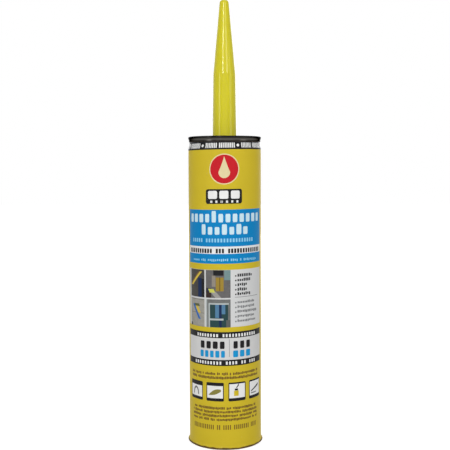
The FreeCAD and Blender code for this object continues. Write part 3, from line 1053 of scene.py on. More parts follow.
@dataclass(frozen=True)
class PictureFinish:
    """A small printed picture of a building surface, made of patches over a plain wall."""

    name: str
    left: float
    foot: float
    width: float
    height: float
    wall: Colour
    patches: tuple[Patch, ...]
    course: float = 0.0
    radius: float = 25.0
    tilt: float = 0.0
    centre: float = -0.3
    blur: float = 0.12
    roughness: float = 0.5
    joint_edge: tuple[float, float] = (0.05, 0.25)
    joint_colour: Colour = (0.03, 0.03, 0.03)

    def coordinates(self, shader: Shader, effects: Effects) -> tuple[Socket, Socket]:
        """Where a point lies in the picture, in millimetres from its lower left corner."""
        place = shader.use(effects.label_place, {"Radius": self.radius, "Tilt": self.tilt})
        along = shader.minus(place.outputs["Along"], self.left + self.centre)
        return along, shader.minus(place.outputs["Height"], self.foot)

    def between(self, shader: Shader, value: Socket, low: float, high: float) -> Socket:
        """A mask that is 1 between two values."""
        offset = shader.off(value, (low + high) / 2.0)
        half = (high - low) / 2.0
        return shader.fit(offset, half - self.blur, half + self.blur, 1.0, 0.0)

    def material(self, effects: Effects) -> bpy.types.Material:
        """Builds the picture's material."""
        shader = Shader(self.name)
        along, up = self.coordinates(shader, effects)
        shade = shader.noise(shader.vector(along, up, 0.0), 0.35)
        level = shader.plus(0.75, shader.times(shade, 0.5))
        colour = shader.shaded(level, opaque(self.wall))
        if self.course:
            joint = shader.fit(shader.math("PINGPONG", up, self.course), *self.joint_edge, 0.55, 0.0)
            colour = shader.mix(joint, colour, opaque(self.joint_colour))
        for patch in self.patches:
            leaning = shader.plus(along, shader.times(up, patch.lean))
            across = self.between(shader, leaning, patch.left, patch.right)
            mask = shader.times(across, self.between(shader, up, patch.low, patch.high))
            colour = shader.mix(mask, colour, opaque(patch.colour))
        mottled = shader.take(effects.mottle, {"Colour": colour, "Amount": 0.10, "Fine Scale": 1500.0})
        return printed_surface(shader, effects, mottled, self.roughness)


# Flat shapes that are printed on the label


FLAT_STEP = 0.9
THINNEST = 0.02
ROUND_STEPS = 3.0
DROP_STEPS = 18


def strip_shape(left: float, right: float, low: Callable[[float], float], high: Callable[[float], float],
                rows: int = 1, columns: int | None = None) -> list[list[Point]]:
    """Cuts a flat shape into upright strips narrow enough to bend round the label.

    Args:
        left: Its left end in millimetres along the label.
        right: Its right end.
        low: Its lower edge at each place.
        high: Its upper edge at each place.
        rows: How many rows of faces it has.
        columns: How many strips it has, or none to take as many as its width needs.

    Returns:
        The columns of points, from left to right, each from low to high.
    """
    count = columns or max(2, math.ceil((right - left) / FLAT_STEP))
    places = [left + (right - left) * step / count for step in range(count + 1)]
    return [[(x, low(x) + (high(x) - low(x)) * row / rows) for row in range(rows + 1)] for x in places]


def box(left: float, foot: float, width: float, height: float) -> list[list[Point]]:
    """A plain rectangle."""
    return strip_shape(left, left + width, lambda x: foot, lambda x: foot + height)


def soft_box(left: float, foot: float, width: float, height: float, bend: float,
             columns: int | None = None) -> list[list[Point]]:
    """A rectangle with rounded corners."""

    def inset(x: float) -> float:
        """How far the rounded corner comes in at a place."""
        gap = min(x - left, left + width - x)
        if gap >= bend:
            return 0.0
        return bend - math.sqrt(max(0.0, bend * bend - (bend - gap) ** 2))

    middle = foot + height / 2.0
    return strip_shape(
        left,
        left + width,
        lambda x: min(middle - 0.01, foot + inset(x)),
        lambda x: max(middle + 0.01, foot + height - inset(x)),
        columns=columns or max(10, math.ceil(width / FLAT_STEP * 1.5)),
    )


def disc(x: float, y: float, radius: float) -> list[list[Point]]:
    """A round spot, with its strips spaced evenly round its edge."""
    count = max(8, math.ceil(radius * ROUND_STEPS))
    columns = []
    for step in range(count + 1):
        bearing = math.pi * (1.0 - step / count)
        reach = max(THINNEST, radius * math.sin(bearing))
        spot = x + radius * math.cos(bearing)
        columns.append([(spot, y - reach), (spot, y + reach)])
    return columns


def drop(x: float, y: float, radius: float, height: float) -> list[list[Point]]:
    """A drop with a round foot and a pointed head."""
    columns = []
    for step in range(DROP_STEPS + 1):
        bearing = math.pi * (1.0 - step / DROP_STEPS)
        side = abs(math.cos(bearing))
        lower = y - max(THINNEST, radius * math.sin(bearing))
        upper = y + max(THINNEST, (height - radius) * (1.0 - side) ** 1.35 + radius * 0.35 * math.sin(bearing))
        columns.append([(x + radius * math.cos(bearing), lower), (x + radius * math.cos(bearing), upper)])
    return columns


def flat_mesh(name: str, shapes: Iterable[list[list[Point]]]) -> bpy.types.Mesh:
    """Flat shapes as one mesh, facing up."""
    points: list[tuple[float, float, float]] = []
    faces: list[tuple[int, int, int, int]] = []
    for columns in shapes:
        base = len(points)
        rows = len(columns[0])
        for column in columns:
            points.extend((x * MM, y * MM, 0.0) for x, y in column)
        for place in range(len(columns) - 1):
            for row in range(rows - 1):
                corner = base + place * rows + row
                faces.append((corner, corner + rows, corner + rows + 1, corner + 1))
    mesh = bpy.data.meshes.new(name)
    mesh.from_pydata(points, [], faces)
    return mesh


class Block(Enum):
    """The forms of the blocks in the printed rows."""

    SMALL = "small"
    SOFT = "soft"
    BENT = "bent"

    def mesh(self) -> bpy.types.Mesh:
        """The block as a flat mesh one metre square, for the rows to shrink."""
        side = 1.0 / MM
        half = side / 2.0
        if self is Block.SOFT:
            form = soft_box(-half, -half, side, side, side * 0.16, columns=14)
        else:
            rows, columns = (1, 1) if self is Block.SMALL else (6, 2)
            form = strip_shape(-half, half, lambda x: -half, lambda x: half, rows, columns)
        return flat_mesh("block", [form])


@dataclass(frozen=True)
class Rows:
    """Rows of plain blocks that stand where the label carries words, in millimetres."""

    ink: Ink
    left: float
    foot: float
    width: float
    height: float
    columns: int
    rows: int = 1
    pitch: float = 3.0
    block: Block = Block.SMALL
    cover: float = 0.78
    short: float = 0.0
    gaps: float = 0.14
    ragged: float = 0.0
    align: float = 0.5
    film: float = 0.02

    def inputs(self) -> dict[str, Any]:
        """The tree's inputs for these rows."""
        lengths = {"Left": self.left, "Foot": self.foot, "Width": self.width, "Block Height": self.height}
        lengths |= {"Pitch": self.pitch, "Film": self.film}
        plain = {"Rows": self.rows, "Columns": self.columns, "Cover": self.cover, "Short Share": self.short,
                 "Gap Chance": self.gaps, "Ragged": self.ragged, "Align": self.align}
        return plain | {label: length * MM for label, length in lengths.items()}


@dataclass(frozen=True)
class Shapes:
    """Flat shapes of one ink and one film height."""

    ink: Ink
    forms: tuple[list[list[Point]], ...]
    film: float = 0.02


@dataclass
class Cartridge:
    """The wound tube with its label and the pressed end, in millimetres."""

    height: float = 211.4
    bore: float = 23.5
    wall: float = 1.35
    paper: float = 0.15
    flare_reach: float = 1.05
    flare_angle: float = math.radians(35.0)
    flare_bend: float = 5.0
    foot_trim: float = 0.2
    neck_length: float = 4.4
    neck_squeeze: float = 0.75
    neck_angle: float = math.radians(22.0)
    neck_bend: float = 3.0
    neck_root_bend: float = 2.0
    skirt_depth: float = 3.6
    skirt_stand: float = 0.42
    skirt_land: float = 1.2
    skirt_step: float = 1.2
    skirt_bend: float = 0.5
    rim_stand: float = 0.12
    label_margin: float = 0.1
    lap_width: float = 6.5
    gauge: float = 0.25
    crown_bend: float = 0.65
    groove_depth: float = 7.0
    groove_width: float = 1.8
    groove_bend: float = 0.6
    panel_depth: float = 5.5
    dome_height: float = 1.7
    dome_head: float = 13.2
    dome_run: float = 0.7
    dome_bend: float = 0.5
    collar: float = 8.45
    collar_height: float = 1.5
    segments: int = 256

    @property
    def outer(self) -> float:
        """Radius of the label's outer face."""
        return self.bore + self.wall + self.paper

    @property
    def skirt_foot(self) -> float:
        """Height of the steel skirt's lower edge."""
        return self.height - self.skirt_depth

    @property
    def rim(self) -> float:
        """Outer radius of the steel rim."""
        return self.outer + self.rim_stand

    @property
    def flare_edge(self) -> float:
        """Height of the label's outer edge on the flare."""
        return (self.wall + self.paper) * math.sin(self.flare_angle) - self.foot_trim

    def flare_corner(self, depth: float) -> Corner:
        """Corner between wall and flare for the surface that lies this deep under the label's face."""
        rise = self.flare_edge + self.flare_reach / math.tan(self.flare_angle)
        up = rise - depth * math.tan(self.flare_angle / 2.0)
        return Corner(self.outer - depth, up, self.flare_bend + depth)

    def flare_end(self, depth: float) -> Corner:
        """End of that surface on the rim's cut edge."""
        across = self.outer + self.flare_reach - depth * math.cos(self.flare_angle)
        return Corner(across, self.flare_edge - depth * math.sin(self.flare_angle))

    def neck_corner(self, depth: float) -> Corner:
        """Corner between wall and neck for that surface."""
        start = self.skirt_foot - self.neck_length
        up = start - depth * math.tan(self.neck_angle / 2.0)
        return Corner(self.outer - depth, up, self.neck_bend - depth)

    def neck_root(self, depth: float) -> Corner:
        """Corner between the neck's slope and its upright part."""
        start = self.neck_corner(depth)
        rise = self.neck_squeeze / math.tan(self.neck_angle)
        return Corner(start.across - self.neck_squeeze, start.up + rise, self.neck_root_bend + depth)

    def skirt(self, depth: float) -> list[Corner]:
        """Foot and step of the steel skirt for the surface that lies this deep under its face."""
        radius = self.neck_root(0.0).across + self.skirt_stand - depth
        step = self.skirt_foot + self.skirt_land
        return [
            Corner(radius, self.skirt_foot),
            Corner(radius, step, self.skirt_bend + depth),
            Corner(self.rim - depth, step + self.skirt_step, self.skirt_bend + self.gauge - depth),
        ]

    def tube_outline(self) -> list[Corner]:
        """Outline of the fibre tube."""
        whole = self.wall + self.paper
        top = self.height - self.gauge
        edge = self.crown_bend - self.gauge
        foot_depth = self.flare_edge / math.sin(self.flare_angle)
        inner = self.flare_end(whole).across - self.foot_trim * math.tan(self.flare_angle)
        neck = self.neck_root(self.paper).across
        _, low_step, high_step = self.skirt(self.gauge)
        return [
            Corner(inner, 0.0),
            Corner(self.flare_end(foot_depth).across, 0.0),
            self.flare_end(self.paper),
            self.flare_corner(self.paper),
            self.neck_corner(self.paper),
            self.neck_root(self.paper),
            Corner(neck, self.skirt_foot),
            Corner(low_step.across, self.skirt_foot + low_step.across - neck),
            low_step,
            high_step,
            Corner(self.rim - self.gauge, top, edge),
            Corner(self.bore, top, edge),
            self.flare_corner(whole),
        ]

    def label_outline(self) -> list[Corner]:
        """Outline of the label round the tube."""
        top = self.skirt_foot - self.label_margin
        return [
            self.flare_end(self.paper),
            self.flare_end(0.0),
            self.flare_corner(0.0),
            self.neck_corner(0.0),
            self.neck_root(0.0),
            Corner(self.neck_root(0.0).across, top),
            Corner(self.neck_root(self.paper).across, top),
            self.neck_root(self.paper),
            self.neck_corner(self.paper),
            self.flare_corner(self.paper),
        ]

    def end_outline(self) -> list[Corner]:
        """Outline of the pressed steel end."""
        gauge = self.gauge
        crown = self.height
        rim = self.rim
        groove, panel = crown - self.groove_depth, crown - self.panel_depth
        dome = panel + self.dome_height
        ring_out = self.bore - gauge
        ring_in = ring_out - self.groove_width
        foot, head = self.dome_head + self.dome_run, self.dome_head
        tight, easy = self.groove_bend, self.groove_bend + gauge
        small, large = self.dome_bend, self.dome_bend + gauge
        collar_top = dome + self.collar_height
        return [
            *self.skirt(0.0),
            Corner(rim, crown, self.crown_bend),
            Corner(ring_out, crown, self.crown_bend),
            Corner(ring_out, groove, tight),
            Corner(ring_in, groove, tight),
            Corner(ring_in, panel, easy),
            Corner(foot, panel, small),
            Corner(head, dome, large),
            Corner(self.collar + gauge, dome, small),
            Corner(self.collar + gauge, collar_top),
            Corner(self.collar, collar_top),
            Corner(self.collar, dome - gauge, large),
            Corner(head - gauge, dome - gauge, small),
            Corner(foot - gauge, panel - gauge, large),
            Corner(ring_in - gauge, panel - gauge, tight),
            Corner(ring_in - gauge, groove - gauge, easy),
            Corner(ring_out + gauge, groove - gauge, easy),
            Corner(ring_out + gauge, crown - gauge, self.crown_bend - gauge),
            Corner(rim - gauge, crown - gauge, self.crown_bend - gauge),
            *reversed(self.skirt(gauge)),
        ]

    def build(self, shop: Workshop, effects: Effects, tilt: float) -> bpy.types.Object:
        """Returns:
            The label's paper, which the inks are laid on.
        """
        board = WoundBoard().material(effects)
        tube = shop.turn("tube_wall", rounded(self.tube_outline(), True), self.segments, board)
        declare(tube, Body.CARTRIDGE, Slot.BOARD, "cartridge_tube")
        paper = PrintedPaper(radius=self.outer, tilt=tilt).material(effects)
        label = shop.turn("label_paper", rounded(self.label_outline(), True), self.segments, paper)
        declare(label, Body.CARTRIDGE, Slot.PAPER, "printed_label")
        steel = DrawnSteel().material(effects)
        end = shop.turn("pressed_end", rounded(self.end_outline(), True), self.segments, steel)
        declare(end, Body.CARTRIDGE, Slot.STEEL, "steel_end")
        self.glued_lap(shop, label, paper)
        return label

    def glued_lap(self, shop: Workshop, label: bpy.types.Object, paper: bpy.types.Material) -> None:
        """Makes the strip where the label is glued over itself, at the back."""
        middle = math.pi * self.outer
        half = self.lap_width / 2.0
        foot, top = self.flare_edge + 0.05, self.skirt_foot - self.label_margin - 0.02
        heights = [foot, *(up / MM for _, up in rounded(self.label_outline()[1:6], False)[1:-1]), top]
        places = [middle - half + self.lap_width * step / 8.0 for step in range(9)]
        strip = [[(place, height) for height in heights] for place in places]
        values = {"Label": label, "Radius": self.outer * MM, "Film": self.paper * MM, "Ink": paper}
        mesh = shop.make(flat_mesh("label_lap", [strip]), shop.printed_shapes, values)
        declare(shop.piece("label_lap", mesh), Body.CARTRIDGE, Slot.PAPER)


@dataclass
class Sealant:
    """The sealant in the bore, in millimetres."""

    radius: float = 23.4
    rear: float = 29.3
    hollow: float = 30.6
    hollow_head: float = 19.4
    hollow_foot: float = 20.0
    shoulder: float = 204.05
    crest_radius: float = 21.1
    crest: float = 205.55
    seal_radius: float = 12.7
    seal_foot: float = 205.63
    kept: float = 0.0025
    segments: int = 128

    def build(self, shop: Workshop, effects: Effects) -> None:
        corners = [
            Corner(0.0, self.hollow),
            Corner(self.hollow_head, self.hollow),
            Corner(self.hollow_foot, self.rear),
            Corner(self.radius, self.rear),
            Corner(self.radius, self.shoulder),
            Corner(self.crest_radius, self.shoulder),
            Corner(self.crest_radius, self.crest, 0.5),
            Corner(self.seal_radius, self.crest),
            Corner(self.seal_radius, self.seal_foot),
            Corner(0.0, self.seal_foot),
        ]
        paste = SealantPaste().material(effects)
        filling = shop.turn("sealant_filling", rounded(corners, False), self.segments, paste)
        declare(filling, Body.CARTRIDGE, Slot.PASTE, "sealant")
        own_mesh(filling)


@dataclass
class Nozzle:
    """The moulded nozzle, in millimetres."""

    foot: float = 205.85
    seat: float = 207.35
    stem: float = 46.65
    cone: float = 50.5
    root: float = 8.4
    knee: float = 7.7
    tip: float = 3.0
    knee_bend: float = 20.0
    tip_bend: float = 2.3
    wall: float = 1.3
    tip_wall: float = 1.8
    flange: float = 12.6
    segments: int = 144
    plastic: MouldedPolyethylene = field(
        default_factory=lambda: MouldedPolyethylene(
            "nozzle_polyethylene", (0.595, 0.530, 0.008), roughness=0.11, glow=0.12, parting_line=0.5
        )
    )

    def outline(self) -> list[Corner]:
        """Outline from the inside of the tip, round the flange, to the outside of the tip."""
        knee = self.seat + self.stem
        tip = knee + self.cone
        bore_top = tip - self.tip_wall
        return [
            Corner(0.0, bore_top),
            Corner(self.tip - self.wall, bore_top),
            Corner(self.knee - self.wall, knee, self.knee_bend),
            Corner(self.root - self.wall, self.foot),
            Corner(self.flange, self.foot),
            Corner(self.flange, self.seat),
            Corner(self.root, self.seat),
            Corner(self.knee, knee, self.knee_bend),
            Corner(self.tip, tip, self.tip_bend),
            Corner(0.0, tip),
        ]

    def build(self, shop: Workshop, effects: Effects) -> None:
        material = self.plastic.material(effects)
        moulding = shop.turn("nozzle_moulding", rounded(self.outline(), False), self.segments, material)
        declare(moulding, Body.CARTRIDGE, Slot.NOZZLE, "nozzle")


@dataclass
class Label:
    """What is printed on the label: plain fields, rows of blocks and simple pictures, in millimetres."""

    radius: float = 25.0
    centre: float = -0.3
    tilt: float = math.radians(0.766)
    dot_step: float = 25.2
    picture_film: float = 0.02
    emblem_up: float = 189.3
    top_words_up: float = 203.4
    dots_up: float = 205.0
    bullets_along: float = 7.6
    icon_size: float = 12.4
    icon_foot: float = 33.2
    icon_middles: tuple[float, ...] = (-22.3, -6.9, 8.6, 24.0)

    def word_rows(self) -> list[Rows]:
        """The rows of blocks on the front, from the label's head to its foot."""
        soft = Block.SOFT
        return [
            Rows(Ink.WHITE, -11.9, 169.6, 23.2, 5.4, 3, block=soft, cover=0.90, gaps=0.0, film=0.04),
            Rows(Ink.WHITE, -10.6, 167.0, 21.2, 1.5, 6, cover=0.42, gaps=0.0, film=0.04),
            Rows(Ink.ICE, -28.8, 154.0, 57.6, 7.6, 12, block=soft, cover=0.70, short=0.72, gaps=0.0),
            Rows(Ink.ICE, -17.3, 145.8, 34.6, 6.9, 7, block=soft, cover=0.72, short=0.6, gaps=0.0),
            Rows(Ink.SKY, -25.8, 140.7, 51.6, 2.5, 25, cover=0.62, gaps=0.08),
            Rows(Ink.BLACK, -29.0, 133.4, 58.0, 3.0, 28, cover=0.74, gaps=0.10),
            Rows(Ink.SKY, -25.0, 128.1, 50.0, 1.6, 38, cover=0.66, short=0.7),
            Rows(Ink.BLACK, 8.6, 117.4, 12.0, 2.0, 8, 5, 3.1, short=0.5, ragged=0.5, align=0.0, gaps=0.0),
            Rows(Ink.GREY, 8.6, 99.5, 17.0, 1.7, 13, 5, 3.15, short=0.5, ragged=0.45, align=0.0, gaps=0.0),
            Rows(Ink.WHITE, -23.5, 76.95, 47.5, 2.1, 22, cover=0.58, gaps=0.12),
            Rows(Ink.BLACK, -18.5, 69.0, 19.2, 5.0, 4, block=soft, cover=0.72, gaps=0.0),
            Rows(Ink.BLACK, 5.0, 69.0, 14.4, 5.0, 3, block=soft, cover=0.72, gaps=0.0),
            Rows(Ink.BLUE, -18.5, 63.1, 19.2, 4.6, 5, block=soft, cover=0.74, gaps=0.0),
            Rows(Ink.BLUE, 5.0, 63.1, 14.4, 4.6, 3, block=soft, cover=0.74, gaps=0.0),
            Rows(Ink.WHITE, -23.5, 58.3, 47.5, 2.1, 22, cover=0.58, gaps=0.12),
            Rows(Ink.BROWN, -27.0, 51.2, 54.0, 1.8, 50, 2, 2.75, cover=0.86, short=0.4, ragged=0.03, gaps=0.07),
            Rows(Ink.BROWN, -26.5, 27.7, 53.0, 1.7, 50, 4, 2.6, cover=0.86, short=0.4, ragged=0.12, gaps=0.09),
            Rows(Ink.BROWN, -25.0, 13.8, 50.0, 3.2, 34, cover=0.55, gaps=0.16),
            *(
                Rows(Ink.WHITE, left, self.top_words_up, width, 3.3, columns, block=Block.BENT, cover=0.70,
                     gaps=0.0)
                for left, width, columns in self.top_words()
            ),
        ]

    def top_words(self) -> list[tuple[float, float, int]]:
        """Start, width and number of blocks of each word of the top band, clear of the lap at the back."""
        dots = self.dots_along()
        short = [(dot + 2.3, 8.6, 7) for dot in dots]
        long = [(dot + 12.0, 11.2, 9) for dot in dots[:-1]]
        return [*short, *long, (-74.4, 6.4, 5)]

    def back_rows(self) -> list[Rows]:
        """The rows of small print at the back, in four columns of headed paragraphs."""
        rows = []
        counts = (7, 11, 8, 13, 9, 10)
        pitch = 2.25
        for place, left in enumerate((38.5, 56.6, -72.0, -53.9)):
            top = 195.0
            for count in counts[place:] + counts[:place]:
                rows.append(Rows(Ink.BLACK, left, top, 9.5, 1.7, 8, gaps=0.08))
                foot = top - 3.2
                rows.append(Rows(Ink.BROWN, left, foot, 15.4, 1.15, 19, count, pitch, short=0.5, ragged=0.2,
                                 align=0.0, gaps=0.16))
                top = foot - pitch * count - 2.6
        return rows

    def dots_along(self) -> list[float]:
        """Where the dots of the top band stand."""
        return [-15.7 + self.dot_step * count for count in range(-2, 4)]

    def badge(self) -> list[Shapes]:
        """The red spot with its pale ring and drop, and the black plate below it."""
        return [
            Shapes(Ink.CREAM, (disc(0.0, self.emblem_up, 10.2),), 0.02),
            Shapes(Ink.RED, (disc(0.0, self.emblem_up, 9.5),), 0.03),
            Shapes(Ink.CREAM, (drop(0.0, self.emblem_up - 2.1, 3.9, 13.0),), 0.04),
            Shapes(Ink.BLACK, (soft_box(-12.9, 166.3, 25.1, 9.8, 1.2),), 0.03),
        ]

    def icons(self) -> list[Shapes]:
        """Four framed signs near the foot: an arch, a leaf-shaped bead, a brush and a slope."""
        size, foot, middles = self.icon_size, self.icon_foot, self.icon_middles
        frames = [soft_box(middle - size / 2.0, foot, size, 12.8, 0.5) for middle in middles]
        fills = [
            box(middle - size / 2.0 + 0.6, foot + 2.1, size - 1.2, height)
            for middle, height in zip(middles, (7.7, 8.4, 9.6, 9.6))
        ]

        def arch(reach: float, low: float, high: float) -> list[list[Point]]:
            """An upright arch over the first sign's middle."""
            middle = middles[0] - 0.2

            def bow(x: float) -> float:
                """The arch's upper edge at a place."""
                return low + 0.05 + high * math.sqrt(max(0.0, 1.0 - ((x - middle) / reach) ** 2))

            return strip_shape(middle - reach, middle + reach, lambda x: low, bow, columns=14)

        leaf = strip_shape(-11.4, -2.7, lambda x: 37.4 + (x + 11.4) * 0.28 - 0.9 * math.sin((x + 11.4) * 0.36),
                           lambda x: 37.6 + (x + 11.4) * 0.42 + 1.6 * math.sin((x + 11.4) * 0.36), columns=16)
        handle = strip_shape(7.7, 9.6, lambda x: 41.6 + (x - 7.7) * 1.1, lambda x: 42.3 + (x - 7.7) * 1.6,
                             columns=4)
        stroke = strip_shape(19.6, 27.6, lambda x: 37.9 + (x - 19.6) * 0.42, lambda x: 38.7 + (x - 19.6) * 0.50,
                             columns=10)
        return [
            Shapes(Ink.BLACK, tuple(frames), 0.02),
            Shapes(Ink.WHITE, tuple(fills), 0.03),
            Shapes(Ink.GREY, (arch(2.9, 36.6, 5.4), box(19.6, 36.6, 5.4, 0.8)), 0.04),
            Shapes(Ink.WHITE, (arch(1.9, 36.6, 4.1),), 0.05),
            Shapes(Ink.BLACK, (handle, box(6.7, 40.4, 2.3, 1.3), stroke), 0.04),
            Shapes(Ink.OLIVE, (leaf,), 0.04),
            Shapes(Ink.YELLOW, (box(6.2, 36.7, 3.3, 3.6),), 0.04),
        ]

    def marks(self) -> list[Shapes]:
        """The dots, rules and bullets."""
        dots = tuple(disc(place, self.dots_up, 0.95) for place in self.dots_along())
        bullets, pale_bullets = (
            tuple(disc(self.bullets_along, top - pitch * row, 0.55) for row in range(5))
            for top, pitch in ((118.0, 3.1), (99.9, 3.15))
        )
        return [
            Shapes(Ink.WHITE, dots, 0.02),
            Shapes(Ink.BLACK, bullets, 0.02),
            Shapes(Ink.GREY, pale_bullets, 0.02),
            Shapes(Ink.GREY, (box(7.0, 103.5, 20.0, 0.3), box(2.95, 63.5, 0.3, 12.0)), 0.02),
        ]

    def pictures(self) -> list[PictureFinish]:
        """The four small pictures on the pale panel: a dark wall, a post, pale boards and a window."""
        yellow, navy, blue = (0.62, 0.46, 0.06), (0.010, 0.022, 0.07), (0.03, 0.12, 0.38)
        black = (0.012, 0.012, 0.014)
        pale, teal, sky = (0.42, 0.46, 0.46), (0.022, 0.055, 0.058), (0.08, 0.19, 0.32)
        layout = (
            ("picture_wall", -28.8, 103.4, 14.4, 18.7, (0.060, 0.056, 0.050), 3.6, (
                Patch(12.0, 14.8, -1.0, 12.5, black),
                Patch(8.8, 12.0, -1.0, 13.0, navy),
                Patch(-6.9, -4.9, 8.0, 17.4, yellow, -1.0),
                Patch(-8.3, -6.9, 8.0, 17.4, (0.16, 0.09, 0.04), -1.0),
            )),
            ("picture_post", -13.2, 103.4, 17.2, 18.7, (0.125, 0.12, 0.12), 0.0, (
                Patch(5.5, 12.5, 15.0, 19.0, black),
                Patch(13.0, 17.5, 12.0, 19.0, (0.16, 0.25, 0.25)),
                Patch(4.5, 7.0, 7.5, 15.0, (0.26, 0.23, 0.19)),
                Patch(7.0, 11.0, -1.0, 4.2, (0.30, 0.29, 0.27), 0.9),
                Patch(7.2, 12.6, 4.5, 13.8, (0.31, 0.21, 0.035)),
                Patch(9.6, 10.3, 4.5, 13.8, (0.16, 0.10, 0.02)),
                Patch(-1.0, 4.0, -1.0, 6.5, (0.035, 0.022, 0.02)),
                Patch(4.6, 8.6, 3.6, 6.0, (0.55, 0.56, 0.10), 0.5),
                Patch(3.6, 4.8, 3.8, 6.4, navy, 0.5),
            )),
            ("picture_boards", -28.8, 83.5, 14.4, 18.9, (0.31, 0.30, 0.265), 4.6, (
                Patch(13.6, 16.2, 9.2, 15.4, yellow, 0.55),
                Patch(12.2, 14.2, 5.0, 15.0, blue, 0.62),
                Patch(13.0, 18.0, 13.6, 15.4, (0.10, 0.11, 0.05), 0.55),
                Patch(-0.5, 2.2, -1.0, 2.0, (0.03, 0.03, 0.03)),
            )),
            ("picture_window", -13.2, 83.5, 17.2, 18.9, (0.15, 0.155, 0.15), 0.0, (
                Patch(2.4, 15.5, 0.0, 15.4, teal),
                Patch(6.8, 9.6, 6.5, 15.4, sky),
                Patch(9.4, 11.2, -1.0, 15.4, navy),
                Patch(11.2, 13.6, 9.0, 15.4, sky),
                Patch(2.2, 12.4, 4.8, 6.0, pale),
                Patch(2.0, 3.0, -1.0, 16.0, pale),
                Patch(0.2, 0.9, -1.0, 19.0, pale),
                Patch(2.2, 16.0, 15.4, 16.4, pale),
                Patch(14.2, 17.6, -1.0, 5.0, (0.10, 0.105, 0.10)),
            )),
        )
        place = {"radius": self.radius, "tilt": self.tilt, "centre": self.centre}
        return [
            PictureFinish(name, left, foot, width, height, wall, patches, course, **place)
            for name, left, foot, width, height, wall, course, patches in layout
        ]

    def build(self, shop: Workshop, effects: Effects, paper: bpy.types.Object) -> None:
        """Prints the label.

        Args:
            shop: The workshop with the printing trees.
            effects: The shared shader groups.
            paper: The label's paper.
        """
        common = {"Label": paper, "Radius": self.radius * MM, "Centre": self.centre * MM, "Tilt": self.tilt}
        inks = {ink: ink.value.material(effects) for ink in Ink}
        printed: dict[Ink, list[bpy.types.Mesh]] = {ink: [] for ink in Ink}
        for seed, rows in enumerate([*self.word_rows(), *self.back_rows()], start=1):
            values = {**common, **rows.inputs(), "Seed": seed * SEED_STEP, "Ink": inks[rows.ink]}
            printed[rows.ink].append(shop.make(rows.block.mesh(), shop.printed_rows, values))
        for shapes in [*self.badge(), *self.icons(), *self.marks()]:
            values = {**common, "Film": shapes.film * MM, "Ink": inks[shapes.ink]}
            source = flat_mesh("shapes", shapes.forms)
            printed[shapes.ink].append(shop.make(source, shop.printed_shapes, values))
        for ink, meshes in printed.items():
            if meshes:
                name = ink.value.name
                piece = shop.piece(name, joined_mesh(name, meshes, inks[ink]))
                declare(piece, Body.CARTRIDGE, Slot.PAPER)
        for finish in self.pictures():
            sheet = flat_mesh("picture", [box(finish.left, finish.foot, finish.width, finish.height)])
            values = {**common, "Film": self.picture_film * MM, "Ink": finish.material(effects)}
            mesh = shop.make(sheet, shop.printed_shapes, values)
            declare(shop.piece(finish.name, mesh), Body.CARTRIDGE, Slot.PAPER)


